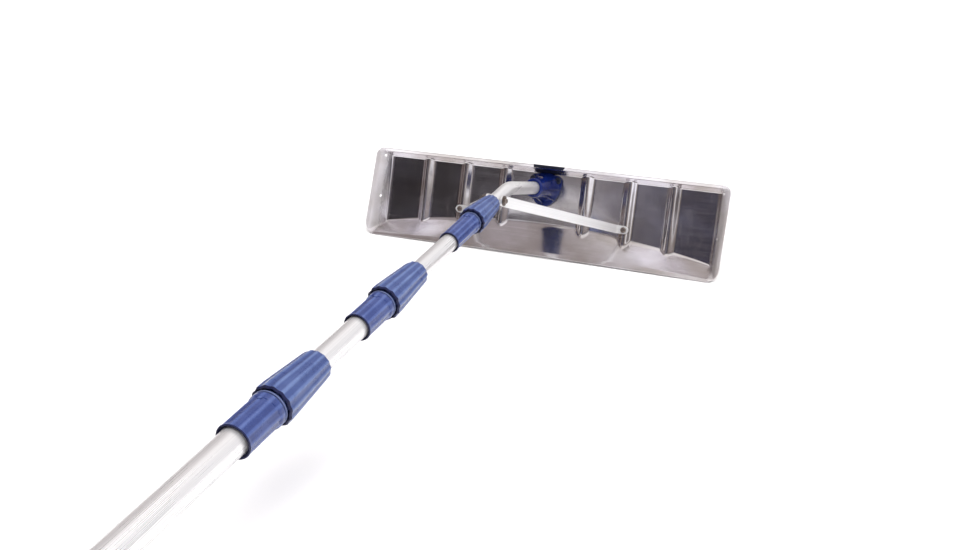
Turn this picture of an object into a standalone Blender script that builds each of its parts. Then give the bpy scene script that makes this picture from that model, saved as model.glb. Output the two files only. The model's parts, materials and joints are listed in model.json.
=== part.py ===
"""Roof snow rake: a pressed sheet blade on a bent head tube, braced to the blade by two straps,
carried by a telescoping pole whose tubes are clamped by twist locks.

The rake lies as it would on a floor: on the lower edge of its blade and on the end of its pole.
X runs along the blade, Y runs from the user to the blade and Z is up. Lengths are in metres."""

import math

import bmesh
import bpy
from mathutils import Matrix, Vector

# Blade, in its own frame: X along it, Y through the plate away from the user, Z up the plate.
# The frame's origin is the middle of the plate's upper edge, on the side facing the user.
BLADE_HALF_WIDTH = 0.305
PLATE_HALF_WIDTH = 0.285
PLATE_HEIGHT = 0.1155
ARCH_RISE = 0.029
TOP_RUN = 0.0101
BOTTOM_RUN = 0.0221
TOP_DEPTH = 0.0219
BOTTOM_DEPTH = 0.0368
EDGE_BOW = 0.003
LIP_WIDTH = 0.0045
SHEET = 0.0016
TOP_CORNER_RADIUS = 0.008
BOTTOM_CORNER_RADIUS = 0.016
PANEL_FILLET = 0.003
LEAST_ROW = 0.0007
LEAST_COLUMN = 0.0008
ROW_HEIGHTS = (-0.030, -0.060)
RIB_PITCH = 0.0714
RIB_PLACES = (-3, -2, -1, 1, 2, 3)
RIB_HEIGHT = 0.009
# Each rib's section, as distance from its middle and share of its height.
RIB_SECTION = ((0.0, 1.0), (0.0018, 0.965), (0.004, 0.74), (0.008, 0.235), (0.0115, 0.0))
FLANGE_HOLE_RADIUS = 0.0024
FLANGE_HOLE_REACH = 0.010
FLANGE_HOLE_HEIGHTS = (-0.002, -0.072)

# Head tube and the angles it sets.
SOCKET_DROP = 0.0247
SOCKET_SLOPE = 0.0450
HEAD_STRAIGHT = 0.1700
HEAD_BEND_RADIUS = 0.075
BEND_STEPS = 6
POLE_SLOPE = 0.4030

# Tubes: outside radii from the user's tube to the head tube, and where each ends along the pole.
# Places along the pole are distances from the bend of the head tube towards the user.
TUBE_RADII = (0.016, 0.014, 0.012, 0.010)
TUBE_WALL = 0.0012
TUBE_REAR_ENDS = (2.025, 1.817, 1.550, 1.445)
TUBE_FACETS = 32

# Twist locks: places of the nut's front, of its skirt and of the base's rear end, then radii.
LOCK_PLACES = ((0.548, 0.639, 0.706), (0.306, 0.397, 0.461), (0.061, 0.135, 0.210))
BASE_RADII = (0.0205, 0.0176, 0.0148)
SKIRT_RADII = (0.0246, 0.0222, 0.0195)
NOSE_RADII = (0.0190, 0.0168, 0.0136)
NECK_WALL = 0.0018
NECK_LENGTH = 0.020
THREAD_DEPTH = 0.0004
THREAD_TURNS = 3
THREAD_PITCH = 0.005
NUT_WALL_GAP = 0.00035
TUBE_STEP_BACK = 0.004
NUT_FLUTES = 14
POINTS_PER_FLUTE = 3
# Depth of a nut's flutes as a share of its nose radius.
FLUTE_SHARE = 0.045
BASE_FLUTES = 12
RIB_OF_BASE = 0.0008
BASE_FLUTE_DEPTH = 0.0004
RING_LENGTH = 0.002
RING_GAP = 0.0010
RING_STEP = 0.0012
COLLET_WALL = 0.0012
COLLET_HEEL = 0.006
NOSE_DEPTH = 0.014
SLOT_WIDTH = 0.0005
SLOT_REACH = 0.025
BUSH_WALL = 0.0022
BUSH_SPIGOT = 0.022
BUSH_FLANGE = 0.0125

# Distances kept between neighbouring pieces.
GAP = 0.0003
BORE_GAP = 0.00035
SLIDE_GAP = 0.0008

# Braces and their fixings.
BRACE_RIB = 2
CREST_GAP = 0.0013
BRACE_WIDTH = 0.016
BRACE_THICKNESS = 0.003
BRACE_BOLT_PLACE = 0.049
BRACE_BOLT_HEIGHT = -0.0765
BOLT_RADIUS = 0.003
BOLT_HOLE_RADIUS = 0.0034
BOLT_CHAMFER = 0.0005
BOLT_TAIL = 0.003
HOLE_REACH = 0.012
HEX_RADIUS = 0.0058
NUT_HEIGHT = 0.005
# Heads as (distance below the top, radius).
HEX_HEAD = ((0.0, 0.0046), (0.0006, 0.0056), (0.004, 0.0056))
ROUND_HEAD = ((0.0, 0.0024), (0.0011, 0.0044), (0.0028, 0.0054))
WASHER_RADIUS = 0.0075
RIB_WASHER_RADIUS = 0.0135
WASHER_THICKNESS = 0.0014
STRAP_FOLD = 0.003
STRAP_END_STEPS = 5
STRAP_TIP = 0.0012

# Socket that bolts to the plate and holds the head tube.
SOCKET_FLANGE = 0.005
SOCKET_LENGTH = 0.060
SOCKET_OUTLINE = ((-0.0200, -0.0025), (0.0200, -0.0025), (0.0285, -0.0090), (0.0280, -0.0220),
                  (0.0200, -0.0430), (0.0130, -0.0520), (0.0, -0.0570), (-0.0130, -0.0520),
                  (-0.0200, -0.0430), (-0.0280, -0.0220), (-0.0285, -0.0090))
SOCKET_BOLTS = ((-0.0215, -0.0115), (0.0215, -0.0115))
SOCKET_FLOOR = 0.003
GUSSET_THICKNESS = 0.0026
# Gussets as (degrees round the boss, how far they reach along the foot).
GUSSETS = ((0, 0.0275), (180, 0.0275), (228, 0.0270), (312, 0.0270))
SCREW_PLACE = 0.030
SCREW_SIDE = 1
SCREW_HOLE_RADIUS = 0.0026
BACKING_SIZE = (0.064, 0.052)
BACKING_THICKNESS = 0.002
BACKING_DROP = 0.004
CLIP_WIDTH = 0.054
CLIP_WALL = 0.0014
CLIP_DROP = 0.0042
CLIP_BACK_DROP = 0.0020

# Grip and cap at the user's end.
GRIP_START = 1.795
GRIP_END = 2.009
GRIP_RADIUS = 0.0188
CAP_RADIUS = 0.0195
CAP_LIP = 0.014
CAP_PLUG = 0.030
CAP_WALL = 0.004

# How far the blade's lower edge lies from the middle of the footprint.
ROW_Y = 1.0153
WELD = 0.00001
SHARP_ANGLE = math.radians(35)

# Finishes as base colour, metallic value and roughness.
FINISHES = {
    "aluminium": ((0.80, 0.80, 0.82, 1.0), 1.0, 0.35),
    "sheet": ((0.55, 0.54, 0.56, 1.0), 1.0, 0.30),
    "blue": ((0.18, 0.21, 0.38, 1.0), 0.0, 0.40),
    "navy": ((0.02, 0.025, 0.07, 1.0), 0.0, 0.25),
    "black": ((0.02, 0.02, 0.02, 1.0), 0.0, 0.40),
    "steel": ((0.62, 0.62, 0.64, 1.0), 1.0, 0.35),
    "nylon": ((0.75, 0.75, 0.72, 1.0), 0.0, 0.50),
    "foam": ((0.04, 0.04, 0.045, 1.0), 0.0, 0.80),
}

for old in list(bpy.data.objects):
    bpy.data.objects.remove(old)

rake = bpy.data.collections.new("roof_snow_rake")
cutters = bpy.data.collections.new("cutters")
bpy.context.scene.collection.children.link(rake)
bpy.context.scene.collection.children.link(cutters)


def make_material(name, colour):
    """A material of its own for one node."""
    material = bpy.data.materials.new(name)
    material.use_nodes = True
    shader = material.node_tree.nodes["Principled BSDF"]
    base, metallic, roughness = FINISHES[colour]
    shader.inputs["Base Color"].default_value = base
    shader.inputs["Metallic"].default_value = metallic
    shader.inputs["Roughness"].default_value = roughness
    material.diffuse_color = base
    return material


def add_piece(name, data, colour, parent, place=Matrix()):
    """Puts a mesh or a curve in the model as a node, under an empty."""
    piece = bpy.data.objects.new(name, data)
    piece.parent = parent
    piece.matrix_basis = place
    piece.data.materials.append(make_material(name, colour))
    if piece.type == "MESH":
        piece.data.shade_smooth()
        piece.data.set_sharp_from_angle(angle=SHARP_ANGLE)
    rake.objects.link(piece)
    return piece


def add_empty(name, parent, place):
    """An empty that carries the pieces of one frame or one moving group."""
    empty = bpy.data.objects.new(name, None)
    empty.parent = parent
    empty.matrix_basis = place
    rake.objects.link(empty)
    return empty


def combine(piece, other, operation="DIFFERENCE"):
    """Cuts a helper from a piece, or adds it, and moves the helper among the cutters."""
    rake.objects.unlink(other)
    cutters.objects.link(other)
    other.hide_render = True
    other.display_type = "WIRE"
    step = piece.modifiers.new(operation.lower(), "BOOLEAN")
    step.operation = operation
    step.solver = "EXACT"
    step.object = other


def aim(spot, direction):
    """Placement whose Z axis points along a direction."""
    return Matrix.Translation(spot) @ direction.to_track_quat("Z", "Y").to_matrix().to_4x4()


def mesh_of(name, body):
    """A mesh from a bmesh, with its faces turned outwards."""
    bmesh.ops.recalc_face_normals(body, faces=body.faces)
    mesh = bpy.data.meshes.new(name)
    body.to_mesh(mesh)
    body.free()
    return mesh


def add_rod(name, start, direction, radius, length, parent, sides=16, colour="steel"):
    """A cylinder, or a prism with few sides, from a starting point along a direction."""
    body = bmesh.new()
    middle = Matrix.Translation((0, 0, length / 2))
    bmesh.ops.create_cone(body, cap_ends=True, segments=sides, radius1=radius, radius2=radius,
                          depth=length, matrix=middle)
    return add_piece(name, mesh_of(name, body), colour, parent, aim(start, direction))


def add_box(name, low, high, colour, parent):
    """A box between two corners."""
    body = bmesh.new()
    size = high - low
    place = Matrix.Translation((low + high) / 2) @ Matrix.Diagonal(size).to_4x4()
    bmesh.ops.create_cube(body, size=1.0, matrix=place)
    return add_piece(name, mesh_of(name, body), colour, parent)


def add_turned(name, profile, steps, colour, parent, place=Matrix(), closed=True):
    """A solid turned about Z from (height, radius) points that run down its outer side.

    A closed profile makes a ring or a tube. An open one starts and ends on the axis."""
    mesh = bpy.data.meshes.new(name)
    count = len(profile)
    edges = [(k, k + 1) for k in range(count - 1)]
    if closed:
        edges.append((count - 1, 0))
    mesh.from_pydata([(radius, 0, height) for height, radius in profile], edges, [])
    piece = add_piece(name, mesh, colour, parent, place)
    turn = piece.modifiers.new("turn", "SCREW")
    turn.steps = steps
    turn.render_steps = steps
    turn.use_merge_vertices = True
    turn.merge_threshold = WELD
    turn.use_smooth_shade = True
    return piece


def along_pole(profile):
    """Profile points given as distances down the pole, as heights on the pole's axis."""
    return [(-place, radius) for place, radius in profile]


def add_bolt(name, start, direction, head, length, parent, colour="steel"):
    """A bolt whose head starts at a point; head is (distance, radius) steps, the last its underside."""
    under = head[-1][0]
    profile = [(0, 0)] + [(-distance, radius) for distance, radius in head]
    profile += [(-under, BOLT_RADIUS), (-under - length + BOLT_CHAMFER, BOLT_RADIUS),
                (-under - length, BOLT_RADIUS - BOLT_CHAMFER), (-under - length, 0)]
    return add_turned(name, profile, 16, colour, parent, aim(start, -direction), closed=False)


def add_nut(name, start, direction, parent):
    """A hexagon nut whose near face is at a point."""
    nut = add_rod(name, start, direction, HEX_RADIUS, NUT_HEIGHT, parent, sides=6)
    hole_start = start - direction * NUT_HEIGHT
    combine(nut, add_rod(name + "_hole", hole_start, direction, BOLT_RADIUS + BORE_GAP, NUT_HEIGHT * 3, parent))


def add_washer(name, start, direction, radius, parent):
    """A flat washer whose near face is at a point."""
    hole = BOLT_RADIUS + BORE_GAP
    profile = ((WASHER_THICKNESS, hole), (WASHER_THICKNESS, radius), (0, radius), (0, hole))
    add_turned(name, profile, 24, "steel", parent, aim(start, direction))


def add_curve(name, points, parent, colour, dimensions="3D"):
    """A curve object through straight points, welded to a mesh by solid_from_curve."""
    data = bpy.data.curves.new(name, "CURVE")
    data.dimensions = dimensions
    spline = data.splines.new("POLY")
    spline.points.add(len(points) - 1)
    for target, point in zip(spline.points, points):
        target.co = (*point, 1.0)
    return add_piece(name, data, colour, parent)


def solid_from_curve(curve, colour):
    """The curve's solid as a mesh with welded caps, which a Boolean can use."""
    bpy.context.view_layer.update()
    graph = bpy.context.evaluated_depsgraph_get()
    mesh = bpy.data.meshes.new_from_object(curve.evaluated_get(graph))
    body = bmesh.new()
    body.from_mesh(mesh)
    bmesh.ops.remove_doubles(body, verts=body.verts, dist=WELD)
    bmesh.ops.recalc_face_normals(body, faces=body.faces)
    body.to_mesh(mesh)
    body.free()
    mesh.materials.clear()
    name, parent, place = curve.name, curve.parent, curve.matrix_basis.copy()
    bpy.data.objects.remove(curve)
    return add_piece(name, mesh, colour, parent, place)


def add_bar(name, points, radius, parent, colour, resolution=10):
    """A round bar along a path."""
    curve = add_curve(name, points, parent, colour)
    curve.data.bevel_depth = radius
    curve.data.bevel_resolution = resolution
    curve.data.use_fill_caps = True
    return solid_from_curve(curve, colour)


def add_plate(name, outline, thickness, place, parent, colour):
    """A flat outline in its own XY plane, thickened both ways and placed by a matrix."""
    curve = add_curve(name, [(x, y, 0) for x, y in outline], parent, colour, "2D")
    curve.data.splines[0].use_cyclic_u = True
    curve.data.fill_mode = "BOTH"
    curve.data.extrude = thickness / 2
    curve.matrix_basis = place
    return solid_from_curve(curve, colour)


def add_fluted(name, sections, flutes, points_per_flute, colour, parent):
    """A ring-shaped solid lofted through fluted sections, given as (place, radius, flute depth)."""
    count = flutes * points_per_flute
    body = bmesh.new()
    rings = []
    for place, radius, depth in sections:
        ring = []
        for k in range(count):
            angle = 2 * math.pi * k / count
            reach = radius - depth * (0.5 - 0.5 * math.cos(flutes * angle))
            ring.append(body.verts.new((reach * math.cos(angle), reach * math.sin(angle), -place)))
        rings.append(ring)
    for first, second in zip(rings, rings[1:] + rings[:1]):
        for k in range(count):
            after = (k + 1) % count
            body.faces.new((first[k], first[after], second[after], second[k]))
    add_piece(name, mesh_of(name, body), colour, parent)


# Directions in the blade's frame, and the point where the head tube's two straight lines meet.
ACROSS = Vector((1, 0, 0))
THROUGH = Vector((0, 1, 0))
up_socket = Vector((0, math.cos(SOCKET_SLOPE), math.sin(SOCKET_SLOPE)))
up_pole = Vector((0, math.cos(POLE_SLOPE), math.sin(POLE_SLOPE)))
socket_root = Vector((0, 0, -SOCKET_DROP))
bend_point = socket_root - up_socket * HEAD_STRAIGHT

# The floor touches the blade's lower edge and is tangent to the cap at the pole's end.
rim_lean = math.atan((BOTTOM_DEPTH - TOP_DEPTH) / (TOP_RUN + PLATE_HEIGHT + BOTTOM_RUN))
edge_front = Vector((0, -BOTTOM_DEPTH, -PLATE_HEIGHT - BOTTOM_RUN))
edge_contact = edge_front + Vector((0, math.cos(rim_lean), -math.sin(rim_lean))) * SHEET
cap_centre = bend_point - up_pole * (TUBE_REAR_ENDS[0] + CAP_WALL / 2)
span = cap_centre - edge_contact
lie_angle = math.atan2(span.z, -span.y) - math.asin(CAP_RADIUS / span.length)
lie = Matrix.Rotation(lie_angle, 4, "X")
floor_to_blade = Matrix.Translation(Vector((0, ROW_Y, 0)) - (lie @ edge_contact)) @ lie

blade_empty = add_empty("blade_frame", None, floor_to_blade)
socket_empty = add_empty("socket_frame", blade_empty, aim(socket_root, -up_socket))
# Z runs up the pole towards the blade, from the bend of the head tube.
pole_place = Matrix.Translation(bend_point) @ Matrix.Rotation(POLE_SLOPE - math.pi / 2, 4, "X")
pole_empty = add_empty("pole_axis", blade_empty, pole_place)


# Blade: one pressed sheet, laid out as columns along X that each carry the same rows.
def rib_height(x):
    """How far the ribs stand out of the plate at x."""
    offset = min(abs(x - place * RIB_PITCH) for place in RIB_PLACES)
    for (near, high), (far, low) in zip(RIB_SECTION, RIB_SECTION[1:]):
        if offset <= far:
            share = (offset - near) / (far - near)
            return RIB_HEIGHT * (high + (low - high) * share)
    return 0.0


def arch_height(x):
    """Height of the plate's arched lower edge at x."""
    share = min(abs(x) / PLATE_HALF_WIDTH, 1.0)
    return -PLATE_HEIGHT + ARCH_RISE * math.cos(share * math.pi / 2) ** 0.8


def lower_rim(x):
    """Height of the scraping edge before its corners are rounded."""
    return -PLATE_HEIGHT - BOTTOM_RUN + EDGE_BOW * max(0.0, 1 - (x / PLATE_HALF_WIDTH) ** 2)


def corner_loss(x, radius):
    """How much a rounded corner takes off the height at x."""
    inside = abs(x) - (BLADE_HALF_WIDTH - radius)
    if inside <= 0:
        return 0.0
    return radius - math.sqrt(max(radius ** 2 - inside ** 2, 0.0))


def rim_depth(z):
    """Depth of the pan's rim at a height."""
    share = (TOP_RUN - z) / (TOP_RUN + PLATE_HEIGHT + BOTTOM_RUN)
    return TOP_DEPTH + (BOTTOM_DEPTH - TOP_DEPTH) * share


def side_ramp(x):
    """How far up the side flange x is, from 0 at the plate's edge to 1 at the lip, negative on the plate."""
    run = BLADE_HALF_WIDTH - LIP_WIDTH - PLATE_HALF_WIDTH
    return min((abs(x) - PLATE_HALF_WIDTH) / run, 1.0)


def soft_max(first, second, softness):
    """The larger of two values, rounded where they are close."""
    gap = abs(first - second)
    return max(first, second) + max(softness - gap, 0.0) ** 2 / (4 * softness)


def sheet_depth(x, z):
    """How far the sheet stands towards the user at a point of the blade."""
    depth = rim_depth(z)
    top = min(z / (TOP_RUN - LIP_WIDTH), 1.0)
    low_foot = arch_height(x)
    bottom = min((low_foot - z) / (low_foot - lower_rim(x) - LIP_WIDTH), 1.0)
    ramp = max(side_ramp(x), top, bottom)
    return min(soft_max(depth * ramp, rib_height(x), PANEL_FILLET), depth)


def column_rows(x):
    """Heights of one column's rows, from the upper rim to the scraping edge."""
    top = TOP_RUN - corner_loss(x, TOP_CORNER_RADIUS)
    low = lower_rim(x) + corner_loss(x, BOTTOM_CORNER_RADIUS)
    arch = arch_height(x)
    upper_share = max(rib_height(x) / TOP_DEPTH, side_ramp(x), 0.0)
    lower_share = max(rib_height(x) / BOTTOM_DEPTH, side_ramp(x), 0.0)
    foot = (TOP_RUN - LIP_WIDTH) * upper_share
    low_foot = arch - (arch - lower_rim(x) - LIP_WIDTH) * lower_share
    rows = [top, TOP_RUN - LIP_WIDTH, foot, foot - PANEL_FILLET, *ROW_HEIGHTS,
            low_foot + PANEL_FILLET, low_foot, low_foot - PANEL_FILLET, lower_rim(x) + LIP_WIDTH, low]
    for k in range(1, len(rows)):
        rows[k] = min(rows[k], rows[k - 1] - LEAST_ROW)
    rows[-1] = low
    for k in range(len(rows) - 2, 0, -1):
        rows[k] = max(rows[k], rows[k + 1] + LEAST_ROW)
    return rows


def blade_columns():
    """Places of the sheet's columns: each rib's section, the panels between and the side flanges."""
    places = [0.0, 0.018, -0.018, 0.040, -0.040]
    for place in RIB_PLACES:
        for reach, _ in RIB_SECTION:
            places += [place * RIB_PITCH - reach, place * RIB_PITCH + reach]
    for between in (1.5, 2.5, 3.5):
        places += [-between * RIB_PITCH, between * RIB_PITCH]
    lip_start = BLADE_HALF_WIDTH - LIP_WIDTH
    for edge in (PLATE_HALF_WIDTH - PANEL_FILLET, PLATE_HALF_WIDTH, (PLATE_HALF_WIDTH + lip_start) / 2,
                 lip_start, BLADE_HALF_WIDTH - LIP_WIDTH * 0.4, BLADE_HALF_WIDTH):
        places += [-edge, edge]
    places.sort()
    return [x for k, x in enumerate(places) if k == 0 or x - places[k - 1] > LEAST_COLUMN]


def build_blade():
    """The pressed pan, with holes for its bolts and in its side flanges."""
    body = bmesh.new()
    grid = []
    for x in blade_columns():
        grid.append([body.verts.new((x, -sheet_depth(x, z), z)) for z in column_rows(x)])
    for left, right in zip(grid, grid[1:]):
        for k in range(len(left) - 1):
            body.faces.new((left[k], left[k + 1], right[k + 1], right[k]))
    mesh = bpy.data.meshes.new("blade_pan")
    body.to_mesh(mesh)
    body.free()
    blade = add_piece("blade_pan", mesh, "sheet", blade_empty)
    solid = blade.modifiers.new("sheet", "SOLIDIFY")
    solid.thickness = SHEET
    solid.offset = -1.0
    solid.use_even_offset = True
    for x, z in SOCKET_BOLTS:
        start = Vector((x, -HOLE_REACH, z))
        combine(blade, add_rod("socket_hole", start, THROUGH, BOLT_HOLE_RADIUS, HOLE_REACH * 2, blade_empty))
    for side in (-1, 1):
        start = Vector((side * brace_x, -HOLE_REACH, BRACE_BOLT_HEIGHT))
        combine(blade, add_rod("brace_hole", start, THROUGH, BOLT_HOLE_RADIUS, HOLE_REACH * 2, blade_empty))
        for z in FLANGE_HOLE_HEIGHTS:
            middle = Vector((side * (PLATE_HALF_WIDTH + 0.0085), -rim_depth(z) * 0.55, z))
            direction = Vector((side * 0.8, 0.6, 0))
            start = middle - direction * FLANGE_HOLE_REACH
            combine(blade, add_rod("flange_hole", start, direction, FLANGE_HOLE_RADIUS,
                                   FLANGE_HOLE_REACH * 2, blade_empty, sides=12))


def build_socket():
    """The shield-shaped foot, its tapering boss and gussets, bored for the head tube."""
    flat = Matrix.Translation((0, -GAP - SOCKET_FLANGE / 2, 0)) @ Matrix.Rotation(math.pi / 2, 4, "X")
    socket = add_plate("blade_socket", SOCKET_OUTLINE, SOCKET_FLANGE, flat, blade_empty, "navy")
    boss = [(SOCKET_LENGTH, 0), (SOCKET_LENGTH, 0.0138), (SOCKET_LENGTH - 0.003, 0.0145), (0.030, 0.0160),
            (0.010, 0.0185), (0.0025, 0.0205), (0.0025, 0)]
    combine(socket, add_turned("socket_boss", boss, 32, "navy", socket_empty, closed=False), "UNION")
    for turn, reach in GUSSETS:
        outline = ((0.011, 0.003), (reach, 0.003), (reach, 0.0065), (0.0165, 0.042), (0.011, 0.042))
        upright = Matrix.Rotation(math.radians(turn), 4, "Z") @ Matrix.Rotation(math.pi / 2, 4, "X")
        combine(socket, add_plate("gusset", outline, GUSSET_THICKNESS, upright, socket_empty, "navy"), "UNION")
    bore_start = Vector((0, 0, SOCKET_FLOOR))
    combine(socket, add_rod("socket_bore", bore_start, Vector((0, 0, 1)), TUBE_RADII[3] + BORE_GAP,
                            SOCKET_LENGTH, socket_empty, sides=36))
    for x, z in SOCKET_BOLTS:
        start = Vector((x, -HOLE_REACH, z))
        combine(socket, add_rod("bolt_way", start, THROUGH, BOLT_HOLE_RADIUS, HOLE_REACH * 2, blade_empty))
    screw_start = Vector((0, SCREW_SIDE * 0.008, SCREW_PLACE))
    away = Vector((0, SCREW_SIDE, 0))
    combine(socket, add_rod("screw_way", screw_start, away, SCREW_HOLE_RADIUS, 0.02, socket_empty, sides=12))
    head_face = 0.0185
    profile = [(head_face, 0), (head_face, 0.0030), (head_face - 0.001, 0.0042), (head_face - 0.002, 0.0044),
               (head_face - 0.002, 0.0021), (0.0072, 0.0021), (0.0072, 0)]
    add_turned("socket_screw", profile, 12, "steel", socket_empty,
               aim(Vector((0, 0, SCREW_PLACE)), away), closed=False)


def build_socket_fixings():
    """Plate behind the sheet, two bolts with low round heads, their nuts, and the clip on the rim."""
    backing_front = SHEET + 2 * GAP
    backing_back = backing_front + BACKING_THICKNESS
    low = Vector((-BACKING_SIZE[0] / 2, backing_front, -BACKING_SIZE[1] - BACKING_DROP))
    high = Vector((BACKING_SIZE[0] / 2, backing_back, -BACKING_DROP))
    backing = add_box("socket_backing_plate", low, high, "steel", blade_empty)
    head_top = -SOCKET_FLANGE - 2 * GAP - ROUND_HEAD[-1][0]
    for label, (x, z) in zip(("left", "right"), SOCKET_BOLTS):
        start = Vector((x, -HOLE_REACH, z))
        combine(backing, add_rod("backing_hole", start, THROUGH, BOLT_HOLE_RADIUS, HOLE_REACH * 2, blade_empty))
        length = backing_back + NUT_HEIGHT + BOLT_TAIL + SOCKET_FLANGE
        top = Vector((x, head_top, z))
        add_bolt(f"socket_bolt_{label}", top, THROUGH, ROUND_HEAD, length, blade_empty, "black")
        add_nut(f"socket_nut_{label}", Vector((x, backing_back + GAP, z)), THROUGH, blade_empty)
    front = -rim_depth(TOP_RUN - CLIP_DROP) - GAP - CLIP_WALL
    back = -TOP_DEPTH + SHEET + GAP + CLIP_WALL
    top = TOP_RUN + GAP + CLIP_WALL
    low = TOP_RUN - CLIP_DROP
    short = TOP_RUN - CLIP_BACK_DROP
    channel = ((front, low), (front, top), (back, top), (back, short), (back - CLIP_WALL, short),
               (back - CLIP_WALL, top - CLIP_WALL), (front + CLIP_WALL, top - CLIP_WALL),
               (front + CLIP_WALL, low))
    # The channel's section lies in the plane across the blade.
    across = Matrix(((0, 0, 1, 0), (1, 0, 0, 0), (0, 1, 0, 0), (0, 0, 0, 1)))
    add_plate("rim_clip", channel, CLIP_WIDTH, across, blade_empty, "black")


def head_path():
    """Points of the head tube's centre line, in the pole's frame."""
    bend = POLE_SLOPE - SOCKET_SLOPE
    tangent = HEAD_BEND_RADIUS * math.tan(bend / 2)
    start = bend_point + up_socket * tangent
    centre = start + Vector((0, math.sin(SOCKET_SLOPE), -math.cos(SOCKET_SLOPE))) * HEAD_BEND_RADIUS
    path = [socket_root - up_socket * (SOCKET_FLOOR + GAP)]
    for k in range(BEND_STEPS + 1):
        slope = SOCKET_SLOPE + bend * k / BEND_STEPS
        path.append(centre + Vector((0, -math.sin(slope), math.cos(slope))) * HEAD_BEND_RADIUS)
    path.append(bend_point - up_pole * TUBE_REAR_ENDS[3])
    return [pole_place.inverted() @ point for point in path]


def build_head_tube():
    """The bent tube that slides in the pole and ends in the socket."""
    path = head_path()
    tube = add_bar("head_tube", path, TUBE_RADII[3], pole_empty, "aluminium")
    ends = [path[0] + (path[0] - path[1]).normalized() * GAP, path[-1] + Vector((0, 0, -GAP))]
    inside = add_bar("head_tube_inside", ends[:1] + path[1:-1] + ends[1:], TUBE_RADII[3] - TUBE_WALL,
                     pole_empty, "aluminium")
    combine(tube, inside)
    start = Vector((-HOLE_REACH * 2, 0, -BRACE_BOLT_PLACE))
    combine(tube, add_rod("cross_hole", start, ACROSS, BOLT_HOLE_RADIUS, HOLE_REACH * 4, pole_empty))
    start = Vector((0, SCREW_SIDE * 0.006, SCREW_PLACE))
    combine(tube, add_rod("screw_hole", start, Vector((0, SCREW_SIDE, 0)), SCREW_HOLE_RADIUS, 0.02,
                          socket_empty, sides=12))


# Braces: straps folded about one line, from the side of the head tube to the crest of a rib.
brace_x = BRACE_RIB * RIB_PITCH
strap_x = TUBE_RADII[3] + GAP + BRACE_THICKNESS / 2
crest_y = -RIB_HEIGHT - CREST_GAP - BRACE_THICKNESS / 2
tube_bolt = bend_point - up_pole * BRACE_BOLT_PLACE
blade_bolt = Vector((brace_x, crest_y, BRACE_BOLT_HEIGHT))
strap_tilt = math.atan2(tube_bolt.z - blade_bolt.z, blade_bolt.y - tube_bolt.y)
strap_ahead = Vector((0, math.cos(strap_tilt), -math.sin(strap_tilt)))
strap_across = Vector((0, math.sin(strap_tilt), math.cos(strap_tilt)))


def strap_stations():
    """Middle line of a strap with its half width at each station, in the strap's folding plane."""
    half = BRACE_WIDTH / 2
    start = tube_bolt.dot(strap_ahead)
    end = blade_bolt.dot(strap_ahead)
    corners = [Vector((strap_x, start - half)), Vector((strap_x, start + half * 1.2)),
               Vector((brace_x - half * 1.35, end)), Vector((brace_x + half, end))]
    stations = []
    for k in range(STRAP_END_STEPS):
        turn = k * math.pi / 2 / STRAP_END_STEPS
        inset = half * (1 - math.cos(turn))
        stations.append((corners[0] + Vector((0, inset)), max(half * math.sin(turn), STRAP_TIP)))
    stations.append((corners[0] + Vector((0, half)), half))
    for before, corner, after in zip(corners, corners[1:], corners[2:]):
        arrive = (corner - before).normalized()
        leave = (after - corner).normalized()
        stations.append((corner - arrive * STRAP_FOLD, half))
        stations.append((corner + (leave - arrive) * STRAP_FOLD / 4, half))
        stations.append((corner + leave * STRAP_FOLD, half))
    stations.append((corners[3] - Vector((half, 0)), half))
    for k in reversed(range(STRAP_END_STEPS)):
        turn = k * math.pi / 2 / STRAP_END_STEPS
        inset = half * (1 - math.cos(turn))
        stations.append((corners[3] - Vector((inset, 0)), max(half * math.sin(turn), STRAP_TIP)))
    return stations


def build_brace(name, side):
    """One strap, on the right for side 1 or on the left for side -1."""
    body = bmesh.new()
    height = strap_across * tube_bolt.dot(strap_across)
    rows = []
    for middle, half in strap_stations():
        centre = height + ACROSS * middle.x * side + strap_ahead * middle.y
        edge = strap_across * half
        rows.append([body.verts.new(centre - edge), body.verts.new(centre + edge)])
    for first, second in zip(rows, rows[1:]):
        body.faces.new((first[0], first[1], second[1], second[0]))
    brace = add_piece(name, mesh_of(name, body), "aluminium", blade_empty)
    solid = brace.modifiers.new("strap", "SOLIDIFY")
    solid.thickness = BRACE_THICKNESS
    solid.offset = 0.0
    solid.use_even_offset = True
    start = Vector((side * strap_x, tube_bolt.y, tube_bolt.z)) - ACROSS * HOLE_REACH
    combine(brace, add_rod(name + "_tube_hole", start, ACROSS, BOLT_HOLE_RADIUS, HOLE_REACH * 2, blade_empty))
    start = Vector((side * brace_x, -HOLE_REACH * 2, BRACE_BOLT_HEIGHT))
    combine(brace, add_rod(name + "_blade_hole", start, THROUGH, BOLT_HOLE_RADIUS, HOLE_REACH * 3, blade_empty))


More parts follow.
